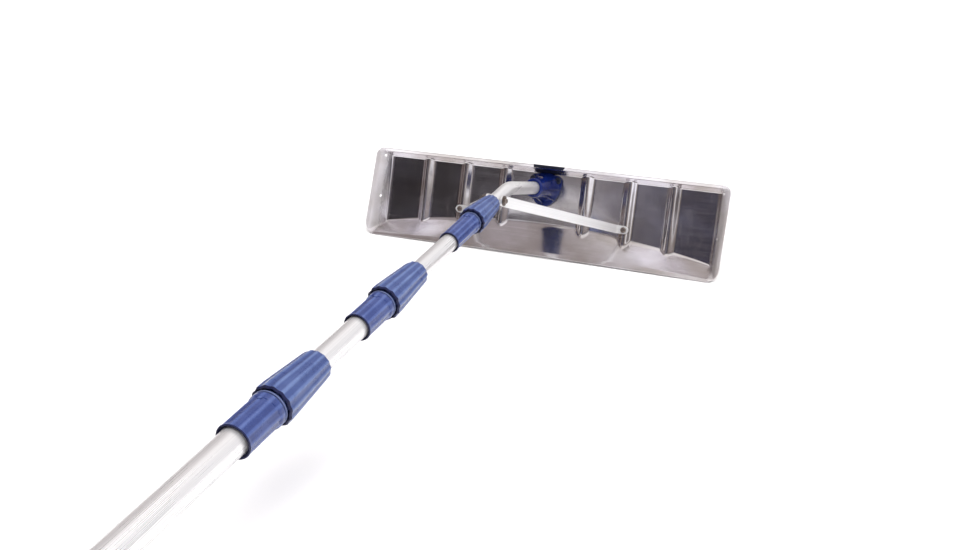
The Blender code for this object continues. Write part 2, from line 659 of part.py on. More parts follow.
def build_brace_fixings():
    """The cross bolt through the head tube and the two bolts through the ribs."""
    strap_face = strap_x + BRACE_THICKNESS / 2 + GAP
    nut_face = strap_face + WASHER_THICKNESS + GAP
    middle = Vector((0, 0, -BRACE_BOLT_PLACE))
    head_top = middle + ACROSS * (nut_face + HEX_HEAD[-1][0])
    length = nut_face * 2 + NUT_HEIGHT + BOLT_TAIL
    add_bolt("cross_bolt", head_top, -ACROSS, HEX_HEAD, length, pole_empty)
    add_nut("cross_nut", middle - ACROSS * (nut_face + GAP), -ACROSS, pole_empty)
    for label, side in (("left", -1), ("right", 1)):
        start = middle + ACROSS * side * strap_face
        add_washer(f"cross_washer_{label}", start, ACROSS * side, WASHER_RADIUS, pole_empty)
        top = crest_y - BRACE_THICKNESS / 2 - 3 * GAP - ROUND_HEAD[-1][0]
        washer_y = SHEET + 2 * GAP
        nut_y = washer_y + WASHER_THICKNESS + GAP
        length = nut_y + NUT_HEIGHT + BOLT_TAIL - top - ROUND_HEAD[-1][0]
        x = side * brace_x
        head_top = Vector((x, top, BRACE_BOLT_HEIGHT))
        add_bolt(f"brace_bolt_{label}", head_top, THROUGH, ROUND_HEAD, length, blade_empty)
        add_washer(f"brace_washer_{label}", Vector((x, washer_y, BRACE_BOLT_HEIGHT)), THROUGH,
                   RIB_WASHER_RADIUS, blade_empty)
        add_nut(f"brace_nut_{label}", Vector((x, nut_y, BRACE_BOLT_HEIGHT)), THROUGH, blade_empty)


def build_tube(k):
    """One straight tube of the pole, from inside its lock to its rear end."""
    radius = TUBE_RADII[k]
    front = LOCK_PLACES[k][1] - NECK_LENGTH + TUBE_STEP_BACK
    rear = TUBE_REAR_ENDS[k]
    profile = ((front, radius), (rear, radius), (rear, radius - TUBE_WALL), (front, radius - TUBE_WALL))
    add_turned(f"pole_tube_{k + 1}", along_pole(profile), TUBE_FACETS, "aluminium", pole_empty)


def build_bush(k):
    """The plug in a sliding tube's rear end, which guides it in the next tube."""
    rear = TUBE_REAR_ENDS[k]
    flange = TUBE_RADII[k - 1] - TUBE_WALL - BORE_GAP
    spigot = TUBE_RADII[k] - TUBE_WALL - BORE_GAP
    hole = spigot - BUSH_WALL
    profile = ((rear - BUSH_SPIGOT, spigot), (rear + GAP, spigot), (rear + GAP, flange),
               (rear + BUSH_FLANGE, flange), (rear + BUSH_FLANGE, hole), (rear - BUSH_SPIGOT, hole))
    add_turned(f"guide_bush_{k}", along_pole(profile), 24, "nylon", pole_empty)


def build_lock(k):
    """One twist lock: base, ring, slotted collet and fluted nut."""
    nose, skirt, rear = LOCK_PLACES[k]
    inner_tube = TUBE_RADII[k + 1]
    tube_bore = TUBE_RADII[k] + BORE_GAP
    neck = tube_bore + NECK_WALL
    root = neck - THREAD_DEPTH
    neck_end = skirt - NECK_LENGTH
    base = BASE_RADII[k]
    ring_front = skirt + RING_GAP
    ring_rear = ring_front + RING_LENGTH
    shoulder = ring_rear + RING_GAP

    sections = [(neck_end, tube_bore, 0), (neck_end, root, 0)]
    for turn in range(THREAD_TURNS):
        crest = neck_end + (turn + 0.6) * THREAD_PITCH
        sections += [(crest, root, 0), (crest + THREAD_PITCH / 4, neck, 0), (crest + THREAD_PITCH / 2, root, 0)]
    sections += [(shoulder, root, 0), (shoulder, base, 0), (shoulder + 0.0015, base + RIB_OF_BASE, 0),
                 (shoulder + 0.0075, base + RIB_OF_BASE, 0), (shoulder + 0.0090, base, BASE_FLUTE_DEPTH),
                 (rear - 0.004, base, BASE_FLUTE_DEPTH), (rear - 0.001, base - 0.0004, 0),
                 (rear, base - 0.0014, 0), (rear, tube_bore, 0)]
    add_fluted(f"lock_base_{k + 1}", sections, BASE_FLUTES, POINTS_PER_FLUTE, "blue", pole_empty)

    rim = base + RING_STEP
    profile = ((ring_front, rim), (ring_rear, rim), (ring_rear, neck + BORE_GAP), (ring_front, neck + BORE_GAP))
    add_turned(f"lock_ring_{k + 1}", along_pole(profile), 36, "nylon", pole_empty)

    bore = inner_tube + BORE_GAP
    wide = neck - 0.0010
    narrow = bore + COLLET_WALL
    front = nose + NOSE_DEPTH
    back = neck_end - 2 * GAP
    cone_end = back - COLLET_HEEL
    profile = ((front, narrow), (cone_end, wide), (back, wide), (back, bore), (front, bore))
    collet = add_turned(f"lock_collet_{k + 1}", along_pole(profile), 24, "nylon", pole_empty)
    for wide_x, wide_y in ((SLOT_REACH, SLOT_WIDTH), (SLOT_WIDTH, SLOT_REACH)):
        low = Vector((-wide_x, -wide_y, -cone_end))
        high = Vector((wide_x, wide_y, -front + COLLET_HEEL))
        combine(collet, add_box("slot", low, high, "nylon", pole_empty))

    skirt_radius = SKIRT_RADII[k]
    nose_radius = NOSE_RADII[k]
    length = skirt - nose
    growth = skirt_radius - nose_radius
    thread_bore = neck + NUT_WALL_GAP
    flute = nose_radius * FLUTE_SHARE
    nose_bore = inner_tube + SLIDE_GAP
    chamber = narrow + NUT_WALL_GAP
    sections = [(nose, nose_bore, 0), (nose, nose_radius - 0.0008, flute / 2),
                (nose + 0.003, nose_radius, flute),
                (nose + length * 0.45, nose_radius + growth * 0.52, flute),
                (nose + length * 0.78, nose_radius + growth * 0.93, flute),
                (skirt - 0.008, skirt_radius - 0.0007, flute), (skirt - 0.002, skirt_radius, flute),
                (skirt, skirt_radius - 0.001, flute), (skirt, thread_bore, 0),
                (cone_end, thread_bore, 0), (front - 0.002, chamber, 0), (front - 0.002, nose_bore, 0)]
    add_fluted(f"lock_nut_{k + 1}", sections, NUT_FLUTES, POINTS_PER_FLUTE, "blue", pole_empty)


def build_user_end():
    """The grip sleeve and the cap that plugs the pole's end."""
    bore = TUBE_RADII[0] + BORE_GAP
    profile = ((GRIP_START, bore), (GRIP_START, GRIP_RADIUS - 0.002), (GRIP_START + 0.003, GRIP_RADIUS),
               (GRIP_END - 0.003, GRIP_RADIUS), (GRIP_END, GRIP_RADIUS - 0.002), (GRIP_END, bore))
    add_turned("hand_grip", along_pole(profile), 28, "foam", pole_empty)
    rear = TUBE_REAR_ENDS[0]
    plug = TUBE_RADII[0] - TUBE_WALL - BORE_GAP
    profile = ((rear - CAP_LIP, bore), (rear - CAP_LIP, CAP_RADIUS - 0.001),
               (rear - CAP_LIP + 0.001, CAP_RADIUS),
               (rear + CAP_WALL - 0.002, CAP_RADIUS), (rear + CAP_WALL, CAP_RADIUS - 0.002),
               (rear + CAP_WALL, 0), (rear - CAP_PLUG, 0), (rear - CAP_PLUG, plug), (rear + GAP, plug),
               (rear + GAP, bore))
    add_turned("end_cap", along_pole(profile), 28, "black", pole_empty)


build_blade()
build_socket()
build_socket_fixings()
build_head_tube()
build_brace("brace_right", 1)
build_brace("brace_left", -1)
build_brace_fixings()
for number in range(3):
    build_tube(number)
    build_bush(number + 1)
    build_lock(number)
build_user_end()
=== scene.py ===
"""Looks of the roof snow rake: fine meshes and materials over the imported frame, a pale floor,
soft studio light and the camera. Lengths are in metres, in the frame's own axes."""

import json
import math

import bmesh
import bpy
from mathutils import Matrix, Vector


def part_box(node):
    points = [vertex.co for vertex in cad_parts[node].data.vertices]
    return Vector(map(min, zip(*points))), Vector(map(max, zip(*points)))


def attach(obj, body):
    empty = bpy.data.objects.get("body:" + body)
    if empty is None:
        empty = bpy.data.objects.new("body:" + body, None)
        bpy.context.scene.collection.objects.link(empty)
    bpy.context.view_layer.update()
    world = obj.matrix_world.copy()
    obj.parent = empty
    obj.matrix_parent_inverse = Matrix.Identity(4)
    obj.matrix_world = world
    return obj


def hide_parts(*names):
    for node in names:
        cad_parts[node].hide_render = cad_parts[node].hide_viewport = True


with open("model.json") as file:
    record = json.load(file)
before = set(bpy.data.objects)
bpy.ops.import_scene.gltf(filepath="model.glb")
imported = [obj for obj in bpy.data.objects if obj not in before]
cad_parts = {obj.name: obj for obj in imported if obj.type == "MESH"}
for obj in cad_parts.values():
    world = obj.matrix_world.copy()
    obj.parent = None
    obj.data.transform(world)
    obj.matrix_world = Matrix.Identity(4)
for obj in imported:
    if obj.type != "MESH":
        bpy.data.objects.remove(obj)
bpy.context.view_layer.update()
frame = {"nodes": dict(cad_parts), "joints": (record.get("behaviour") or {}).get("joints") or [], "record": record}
scene = bpy.context.scene

# Blade, in its own frame: X along it, Y through the plate, Z up it from the plate's upper edge.
BLADE_HALF_WIDTH = 0.305
PLATE_HALF_WIDTH = 0.285
PLATE_HEIGHT = 0.1155
ARCH_RISE = 0.029
TOP_RUN = 0.0101
BOTTOM_RUN = 0.0221
TOP_DEPTH = 0.0219
BOTTOM_DEPTH = 0.0368
EDGE_BOW = 0.003
LIP_WIDTH = 0.0045
SHEET = 0.0016
TOP_CORNER_RADIUS = 0.011
BOTTOM_CORNER_RADIUS = 0.020
FOLD_SOFTNESS = 0.0035
LIP_SOFTNESS = 0.0020
LIP_LEAN = 0.6
FLANGE_BOW = 0.28
FLANGE_HOLE_RADIUS = 0.0024
FLANGE_HOLE_REACH = 0.010
FLANGE_HOLE_HEIGHTS = (-0.002, -0.072)
FLANGE_HOLE_INSET = 0.0085
FLANGE_HOLE_SHARE = 0.55
MITRE_SOFTNESS = 0.22
RIB_PITCH = 0.0714
RIB_PLACES = (-3, -2, -1, 1, 2, 3)
RIB_HEIGHT = 0.009
RIB_FOOT = 0.0112
RIB_CREST = 0.0016
RIB_TAIL = 0.075
RIB_END = 0.62
BRACE_RIB = 2
TOP_BAND = -0.006
FOOT_BAND = 0.012
RIB_COLUMN_STEP = 0.0011
FLAT_COLUMN_STEP = 0.006
BLADE_MARK = Vector((0.1071, SHEET, -0.045))

# Head tube, pole and locks, as distances down the pole from the bend of the head tube.
SOCKET_DROP = 0.0247
SOCKET_SLOPE = 0.0450
HEAD_STRAIGHT = 0.1700
HEAD_BEND_RADIUS = 0.075
POLE_SLOPE = 0.4030
NUT_MARK = 0.588
TUBE_RADII = (0.016, 0.014, 0.012, 0.010)
TUBE_WALL = 0.0012
TUBE_FRONTS = (0.623, 0.381, 0.119)
TUBE_REARS = (2.025, 1.817, 1.550, 1.445)
LOCK_PLACES = ((0.548, 0.639, 0.706), (0.306, 0.397, 0.461), (0.061, 0.135, 0.210))
BASE_RADII = (0.0205, 0.0176, 0.0148)
SKIRT_RADII = (0.0246, 0.0222, 0.0195)
NOSE_RADII = (0.0190, 0.0168, 0.0136)
NUT_FLUTES = 14
FLUTE_DEPTH = 0.0013
PANEL_DEPTH = 0.0008
MOUTH_DEPTH = 0.004
LIP = 0.0010
NUT_BAND_SHARE = 0.15
NUT_BULGE = 0.03
NUT_STEPS = 12
THREAD_TURNS = 3
THREAD_PITCH = 0.005
TAB_HALF_ANGLE = 7
BASE_FLUTES = 12
GAP = 0.0003
SOCKET_LENGTH = 0.060
SOCKET_FLANGE = 0.005
GUSSET_REACHES = (0.0275, 0.0215, 0.0215, 0.0215, 0.0275, 0.0280, 0.0280, 0.0280)
BRACE_WIDTH = 0.016
BRACE_THICKNESS = 0.003
BRACE_TAPER = 0.0016
BRACE_BOLT_PLACE = 0.049
BRACE_BOLT_HEIGHT = -0.0765
SOCKET_BOLT_SPOT = (0.0215, -0.0115)
ROUND_STEPS = 12
CREST_GAP = 0.0013
GRIP_SPAN = (1.795, 2.009)
GRIP_RADIUS = 0.0188
CAP_RADIUS = 0.0195
TUBE_FACETS = 96
RUNNING_GAP = 0.00035

# Camera, as the place it stands, where it looks and how wide it sees.
CAMERA_PLACE = (0.6010, -0.5248, 0.6612)
CAMERA_AZIMUTH = 23.641
CAMERA_TILT = -22.764
CAMERA_ROLL = -0.82
CAMERA_LENS = 40.34

# How far the painted shade in a lock's hollows and the painted highlight on its crests depart from its plain blue.
RIDGE_PAINTED_SHADE = (0.62, 0.66, 0.78)
RIDGE_PAINTED_HIGHLIGHT = (1.60, 1.50, 1.28)

joints = {joint["name"]: joint for joint in frame["joints"]}
mounts = {mount["name"]: mount for mount in frame["record"]["mounts"]}


def axes(origin, x_axis, z_axis):
    """Frame with its X and Z axes along two perpendicular directions."""
    y_axis = z_axis.cross(x_axis)
    turn = Matrix((x_axis, y_axis, z_axis)).transposed().to_4x4()
    return Matrix.Translation(origin) @ turn


ACROSS = Vector((1, 0, 0))
pole_up = Vector(joints["pole_1_extend"]["axis"]).normalized()
pole_origin = Vector(joints["nut_1_twist"]["pos_m"]) + pole_up * NUT_MARK
pole = axes(pole_origin, ACROSS, pole_up)
plate_through = Vector(mounts["blade_back"]["axis"]).normalized()
plate_up = ACROSS.cross(plate_through)
blade_turn = axes(Vector(), ACROSS, plate_up)
blade = Matrix.Translation(Vector(mounts["blade_back"]["pos_m"]) - blade_turn @ BLADE_MARK) @ blade_turn
up_socket = Vector((0, math.cos(SOCKET_SLOPE), math.sin(SOCKET_SLOPE)))
up_pole = Vector((0, math.cos(POLE_SLOPE), math.sin(POLE_SLOPE)))
socket_root = Vector((0, 0, -SOCKET_DROP))
bend_point = socket_root - up_socket * HEAD_STRAIGHT
socket = blade @ axes(socket_root, ACROSS, -up_socket)


# ---------------------------------------------------------------- materials

class Nodes:
    """A material's node tree with short ways to add what the finishes here need."""

    def __init__(self, name):
        self.material = bpy.data.materials.new(name)
        self.material.use_nodes = True
        self.tree = self.material.node_tree
        self.shader = self.tree.nodes["Principled BSDF"]
        self.place = self.tree.nodes.new("ShaderNodeTexCoord").outputs["Object"]

    def add(self, kind, **values):
        node = self.tree.nodes.new(kind)
        for key, value in values.items():
            setattr(node, key, value)
        return node

    def link(self, start, end):
        self.tree.links.new(start, end)

    def set(self, **values):
        for key, value in values.items():
            self.shader.inputs[key.replace("_", " ")].default_value = value

    def stretched(self, scale):
        """Object coordinates scaled on each axis, which stretches a pattern along the small ones."""
        mapping = self.add("ShaderNodeMapping")
        mapping.inputs["Scale"].default_value = scale
        self.link(self.place, mapping.inputs["Vector"])
        return mapping.outputs["Vector"]

    def noise(self, scale, detail=4.0, roughness=0.55, size=1.0):
        node = self.add("ShaderNodeTexNoise")
        node.inputs["Scale"].default_value = size
        node.inputs["Detail"].default_value = detail
        node.inputs["Roughness"].default_value = roughness
        self.link(self.stretched(scale), node.inputs["Vector"])
        return node.outputs["Fac"]

    def spread(self, value, low, high, start=0.3, end=0.7):
        """Maps a pattern's middle range to the range given."""
        node = self.add("ShaderNodeMapRange")
        node.inputs["From Min"].default_value = start
        node.inputs["From Max"].default_value = end
        node.inputs["To Min"].default_value = low
        node.inputs["To Max"].default_value = high
        self.link(value, node.inputs["Value"])
        return node.outputs["Result"]

    def ramp(self, value, first, second, start=0.35, end=0.65):
        node = self.add("ShaderNodeValToRGB")
        node.color_ramp.elements[0].position = start
        node.color_ramp.elements[0].color = (*first, 1)
        node.color_ramp.elements[1].position = end
        node.color_ramp.elements[1].color = (*second, 1)
        self.link(value, node.inputs["Fac"])
        return node.outputs["Color"]

    def blend(self, factor, first, second, kind="MIX"):
        node = self.add("ShaderNodeMix", data_type="RGBA", blend_type=kind)
        for index, value in ((0, factor), (6, first), (7, second)):
            if isinstance(value, bpy.types.NodeSocket):
                self.link(value, node.inputs[index])
            elif index == 0:
                node.inputs[index].default_value = value
            else:
                node.inputs[index].default_value = (*value, 1)
        return node.outputs[2]

    def plus(self, first, second, kind="ADD"):
        node = self.add("ShaderNodeMath", operation=kind)
        for socket_in, value in zip(node.inputs, (first, second)):
            if isinstance(value, bpy.types.NodeSocket):
                self.link(value, socket_in)
            else:
                socket_in.default_value = value
        return node.outputs["Value"]

    def bump(self, value, strength, distance):
        node = self.add("ShaderNodeBump")
        node.inputs["Strength"].default_value = strength
        node.inputs["Distance"].default_value = distance
        self.link(value, node.inputs["Height"])
        self.link(node.outputs["Normal"], self.shader.inputs["Normal"])

    def colour(self, value):
        self.link(value, self.shader.inputs["Base Color"])

    def rough(self, value):
        self.link(value, self.shader.inputs["Roughness"])


def sheet_aluminium():
    """Bright mill-finish sheet: rolling grain along the blade, faint waviness and handling marks,
    with the side flanges scuffed dull."""
    nodes = Nodes("sheet_aluminium")
    split = nodes.add("ShaderNodeSeparateXYZ")
    nodes.link(nodes.place, split.inputs["Vector"])
    outward = nodes.plus(split.outputs["X"], 0.0, "ABSOLUTE")
    scuffed = nodes.spread(outward, 0.0, 1.0, PLATE_HALF_WIDTH + 0.002, PLATE_HALF_WIDTH + 0.008)
    nodes.link(nodes.plus(1.0, nodes.plus(scuffed, 0.60, "MULTIPLY"), "SUBTRACT"),
               nodes.shader.inputs["Metallic"])
    grain = nodes.noise((6, 700, 700), 3.0, 0.6)
    cloud = nodes.noise((9, 14, 14), 3.0, 0.5)
    marks = nodes.noise((120, 120, 35), 6.0, 0.7)
    tint = nodes.ramp(cloud, (0.60, 0.565, 0.555), (0.82, 0.80, 0.84), 0.38, 0.62)
    tone = nodes.ramp(grain, (0.90, 0.90, 0.90), (1.0, 1.0, 1.0), 0.25, 0.75)
    nodes.colour(nodes.blend(1.0, tint, tone, "MULTIPLY"))
    base = nodes.spread(grain, 0.13, 0.20)
    smear = nodes.spread(marks, 0.0, 0.08, 0.5, 0.8)
    nodes.rough(nodes.plus(nodes.plus(base, smear), nodes.plus(scuffed, 0.14, "MULTIPLY")))
    wave = nodes.noise((16, 40, 22), 2.0, 0.4)
    height = nodes.plus(nodes.plus(wave, 1.0, "MULTIPLY"), nodes.plus(grain, 0.03, "MULTIPLY"))
    nodes.bump(height, 0.30, 0.0010)
    return nodes.material


def tube_aluminium():
    """Satin extruded tube: fine lines along its length, softer and rougher bands round it."""
    nodes = Nodes("tube_aluminium")
    nodes.set(Metallic=0.60, IOR=1.6)
    lines = nodes.noise((900, 900, 5), 3.0, 0.6)
    cloud = nodes.noise((30, 30, 12), 3.0, 0.5)
    nodes.colour(nodes.ramp(lines, (0.75, 0.74, 0.745), (0.89, 0.88, 0.885), 0.3, 0.7))
    nodes.rough(nodes.plus(nodes.spread(cloud, 0.26, 0.34), nodes.spread(lines, -0.03, 0.05)))
    nodes.bump(lines, 0.10, 0.0002)
    return nodes.material


def bar_aluminium():
    """Flat bar stock: brushed along its length, with faint scuffs."""
    nodes = Nodes("bar_aluminium")
    nodes.set(Metallic=0.6)
    lines = nodes.noise((5, 5, 900), 3.0, 0.65)
    scuffs = nodes.noise((60, 60, 160), 5.0, 0.7)
    nodes.colour(nodes.ramp(lines, (0.80, 0.795, 0.80), (0.95, 0.945, 0.95), 0.3, 0.7))
    nodes.rough(nodes.plus(nodes.spread(lines, 0.28, 0.38), nodes.spread(scuffs, 0.0, 0.08, 0.5, 0.8)))
    nodes.bump(lines, 0.10, 0.0002)
    return nodes.material


def moulded(name, dark, light, low, high, coat=0.0, wear=(0.5, 0.55, 0.7), ridges=0):
    """Moulded plastic: faint colour clouds, fine mould texture, pale rubbed edges, painted shade in the hollows
    and painted highlights on the crests of the ridges that run along the object's Z axis."""
    nodes = Nodes(name)
    nodes.set(IOR=1.5, Coat_Weight=coat, Coat_Roughness=0.12)
    cloud = nodes.noise((45, 45, 45), 4.0, 0.55)
    grain = nodes.noise((2400, 2400, 2400), 2.0, 0.5)
    body = nodes.ramp(cloud, dark, light)
    if ridges:
        split = nodes.add("ShaderNodeSeparateXYZ")
        nodes.link(nodes.place, split.inputs["Vector"])
        angle = nodes.plus(split.outputs["Y"], split.outputs["X"], "ARCTAN2")
        # Painted shade in the hollows and painted highlights on the crests of the ridges, broken by random
        # streaks.
        wave = nodes.plus(nodes.plus(angle, float(ridges), "MULTIPLY"), 0.0, "COSINE")
        streak = nodes.noise((260, 260, 9), 3.0, 0.6)
        crest = nodes.plus(nodes.spread(wave, 0.0, 1.0, -0.2, 1.0), nodes.spread(streak, -0.25, 0.25))
        body = nodes.blend(1.0, body, nodes.ramp(crest, RIDGE_PAINTED_SHADE, RIDGE_PAINTED_HIGHLIGHT, 0.0, 1.0), "MULTIPLY")
    geometry = nodes.add("ShaderNodeNewGeometry")
    edge = nodes.spread(geometry.outputs["Pointiness"], 0.0, 1.0, 0.53, 0.60)
    patch = nodes.spread(nodes.noise((160, 160, 60), 3.0, 0.5), 0.02, 0.16, 0.35, 0.75)
    nodes.colour(nodes.blend(nodes.plus(edge, patch, "MULTIPLY"), body, wear))
    nodes.rough(nodes.plus(nodes.spread(cloud, low, high), nodes.spread(grain, -0.02, 0.03)))
    nodes.bump(grain, 0.10, 0.0002)
    return nodes.material


def plated_steel(name, first, second, metallic=1.0):
    """Small plated fixings: mottled plating and fine scratches."""
    nodes = Nodes(name)
    nodes.set(Metallic=metallic)
    mottle = nodes.noise((500, 500, 500), 5.0, 0.65)
    scratch = nodes.noise((3000, 400, 400), 2.0, 0.5)
    nodes.colour(nodes.ramp(mottle, first, second))
    nodes.rough(nodes.spread(scratch, 0.25, 0.42))
    nodes.bump(scratch, 0.1, 0.0002)
    return nodes.material


def foam():
    """Closed-cell foam: matt, with fine pores."""
    nodes = Nodes("grip_foam")
    cells = nodes.add("ShaderNodeTexVoronoi")
    cells.inputs["Scale"].default_value = 1.0
    nodes.link(nodes.stretched((900, 900, 900)), cells.inputs["Vector"])
    cloud = nodes.noise((40, 40, 20), 4.0, 0.6)
    nodes.colour(nodes.ramp(cloud, (0.018, 0.018, 0.020), (0.034, 0.034, 0.037)))
    nodes.rough(nodes.spread(cloud, 0.78, 0.92))
    nodes.bump(cells.outputs["Distance"], 0.5, 0.0006)
    return nodes.material


MATERIALS = {
    "blade_sheet": sheet_aluminium(),
    "tube_aluminium": tube_aluminium(),
    "brace_aluminium": bar_aluminium(),
    "lock_blue": moulded("lock_blue", (0.052, 0.086, 0.245), (0.078, 0.122, 0.300), 0.24, 0.34, 0.12,
                         (0.25, 0.29, 0.45), 14),
    "base_blue": moulded("base_blue", (0.036, 0.062, 0.215), (0.056, 0.090, 0.270), 0.22, 0.32, 0.12,
                         (0.25, 0.29, 0.45), 12),
    "socket_navy": moulded("socket_navy", (0.003, 0.010, 0.090), (0.005, 0.016, 0.130), 0.14, 0.24, 0.0,
                           (0.03, 0.045, 0.16)),
    "inner_nylon": moulded("inner_nylon", (0.58, 0.57, 0.52), (0.68, 0.67, 0.62), 0.42, 0.55),
    "ring_plastic": moulded("ring_plastic", (0.10, 0.13, 0.27), (0.13, 0.16, 0.31), 0.35, 0.45),
    # Painted shade for the mouths and rear faces of the locks.
    "lock_painted_shade": moulded("lock_painted_shade", (0.002, 0.004, 0.034), (0.004, 0.007, 0.050), 0.6, 0.7, 0.0,
                           (0.02, 0.03, 0.08)),
    "black_plastic": moulded("black_plastic", (0.010, 0.010, 0.012), (0.020, 0.020, 0.022), 0.35, 0.5, 0.0,
                             (0.12, 0.12, 0.12)),
    # Black plastic darkened further by painted shade, for the rim strip.
    "strip_black_and_painted_shade": moulded("strip_black_and_painted_shade", (0.002, 0.003, 0.014), (0.004, 0.005, 0.022), 0.45, 0.6, 0.0,
                             (0.010, 0.012, 0.05)),
    "zinc_steel": plated_steel("zinc_steel", (0.22, 0.18, 0.155), (0.36, 0.31, 0.28)),
    "black_steel": plated_steel("black_steel", (0.006, 0.008, 0.020), (0.014, 0.018, 0.040), 0.0),
    "grip_foam": foam(),
}


# ---------------------------------------------------------------- mesh helpers

def paint_inner_shade(piece, test):
    """Gives the faces that pass the test, of (place down the pole, radius), painted shade: a second, darker
    material.
    """
    piece.data.materials.append(MATERIALS["lock_painted_shade"])
    for face in piece.data.polygons:
        if test(-face.center.z, math.hypot(face.center.x, face.center.y)):
            face.material_index = 1


def place_piece(name, body, parent, nodes, slot, matrix, smooth=32):
    """Turns a bmesh into a shown piece that rides on a body and stands for CAD nodes."""
    bmesh.ops.recalc_face_normals(body, faces=body.faces)
    mesh = bpy.data.meshes.new(name)
    body.to_mesh(mesh)
    body.free()
    piece = bpy.data.objects.new(name, mesh)
    scene.collection.objects.link(piece)
    piece.matrix_world = matrix
    mesh.materials.append(MATERIALS[slot])
    mesh.shade_smooth()
    if smooth:
        mesh.set_sharp_from_angle(angle=math.radians(smooth))
    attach(piece, parent)
    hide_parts(*nodes)
    return piece


def bevel(piece, width, segments=3, angle=35):
    """Rounds those edges of a piece that are sharper than the angle."""
    rounding = piece.modifiers.new("rounding", "BEVEL")
    rounding.width = width
    rounding.segments = segments
    rounding.limit_method = "ANGLE"
    rounding.angle_limit = math.radians(angle)
    rounding.harden_normals = False


def skin(body, rings, closed=False):
    """Skins rings of equal length: closed joins last to first, or else both ends are capped."""
    made = [[body.verts.new(point) for point in ring] for ring in rings]
    pairs = list(zip(made, made[1:]))
    if closed:
        pairs.append((made[-1], made[0]))
    for first, second in pairs:
        for k in range(len(first)):
            after = (k + 1) % len(first)
            body.faces.new((first[k], first[after], second[after], second[k]))
    if not closed:
        body.faces.new(made[0])
        body.faces.new(made[-1])


def lathe(body, profile, facets, shape=None):
    """Turns (place, radius) points round Z; shape(angle, place, radius) adds to the radius."""
    rings = []
    for place, radius in profile:
        ring = []
        for k in range(facets):
            angle = 2 * math.pi * k / facets
            reach = radius + (shape(angle, place, radius) if shape else 0.0)
            ring.append(Vector((reach * math.cos(angle), reach * math.sin(angle), -place)))
        rings.append(ring)
    skin(body, rings, closed=True)


def rounded(points, radius, steps=4):
    """A profile with each corner given a radius replaced by an arc: points are (place, radius, corner)."""
    result = []
    count = len(points)
    for k, (x, y, corner) in enumerate(points):
        if corner <= 0:
            result.append((x, y))
            continue
        here = Vector((x, y))
        before = Vector(points[k - 1][:2]) - here
        after = Vector(points[(k + 1) % count][:2]) - here
        reach = min(corner * radius, before.length * 0.48, after.length * 0.48)
        start = here + before.normalized() * reach
        end = here + after.normalized() * reach
        for step in range(steps + 1):
            t = step / steps
            spot = start * (1 - t) ** 2 + here * 2 * t * (1 - t) + end * t ** 2
            result.append((spot.x, spot.y))
    return result


# ---------------------------------------------------------------- blade

def smooth_step(value):
    value = min(max(value, 0.0), 1.0)
    return value * value * (3 - 2 * value)


def rib_height(x):
    """How far the ribs stand out of the plate at x: a narrow crest with straight flanks."""
    offset = min(abs(x - place * RIB_PITCH) for place in RIB_PLACES)
    if offset >= RIB_FOOT:
        return 0.0
    share = max(offset - RIB_CREST, 0.0) / (RIB_FOOT - RIB_CREST)
    return RIB_HEIGHT * (1 - (0.55 * smooth_step(share) + 0.45 * share))


def rib_fade(x, above_foot):
    """Share of a rib's height that is left near its foot; the ribs under the braces keep it all."""
    if abs(abs(x) - BRACE_RIB * RIB_PITCH) < RIB_PITCH / 2:
        return 1.0
    return RIB_END + (1 - RIB_END) * min(max(above_foot / RIB_TAIL, 0.0), 1.0)


def arch_height(x):
    """Height of the plate's arched lower edge at x."""
    share = min(abs(x) / PLATE_HALF_WIDTH, 1.0)
    return -PLATE_HEIGHT + ARCH_RISE * math.cos(share * math.pi / 2) ** 0.8


def lower_rim(x):
    """Height of the scraping edge at x, which bows slightly upwards in the middle."""
    return -PLATE_HEIGHT - BOTTOM_RUN + EDGE_BOW * max(0.0, 1 - (x / PLATE_HALF_WIDTH) ** 2)


def corner_loss(x, radius):
    """How much height a rounded corner takes off the outline at x."""
    inside = abs(x) - (BLADE_HALF_WIDTH - radius)
    if inside <= 0:
        return 0.0
    return radius - math.sqrt(max(radius ** 2 - inside ** 2, 0.0))


def rim_depth(z):
    """How far the rim stands in front of the plate at height z."""
    share = (TOP_RUN - z) / (TOP_RUN + PLATE_HEIGHT + BOTTOM_RUN)
    return TOP_DEPTH + (BOTTOM_DEPTH - TOP_DEPTH) * share


def soft_max(first, second, softness):
    """The larger of two values, blended where they are close."""
    gap = abs(first - second)
    return max(first, second) + max(softness - gap, 0.0) ** 2 / (4 * softness)


def sheet_depth(x, z):
    """How far the sheet stands towards the user at a point of the blade, with rounded folds."""
    depth = rim_depth(z)
    side = (abs(x) - PLATE_HALF_WIDTH) / (BLADE_HALF_WIDTH - LIP_WIDTH - PLATE_HALF_WIDTH)
    top = z / (TOP_RUN - LIP_WIDTH)
    foot = arch_height(x)
    bottom = (foot - z) / (foot - lower_rim(x) - LIP_WIDTH)
    side *= 1 + FLANGE_BOW * (1 - min(max(side, 0.0), 1.0))
    wall = soft_max(soft_max(side, top, MITRE_SOFTNESS), bottom, MITRE_SOFTNESS) * depth
    raised = soft_max(wall, rib_height(x) * rib_fade(x, z - foot), FOLD_SOFTNESS)
    past_side = abs(x) - BLADE_HALF_WIDTH + LIP_WIDTH
    past_top = z - TOP_RUN + LIP_WIDTH
    past_bottom = lower_rim(x) + LIP_WIDTH - z
    cap = depth + LIP_LEAN * max(past_side, past_top, past_bottom, 0.0)
    return -soft_max(-raised, -cap, LIP_SOFTNESS)


def spaced(start, end, step):
    """Evenly spaced values from start up to but not including end."""
    count = max(1, round((end - start) / step))
    return [start + (end - start) * k / count for k in range(count)]


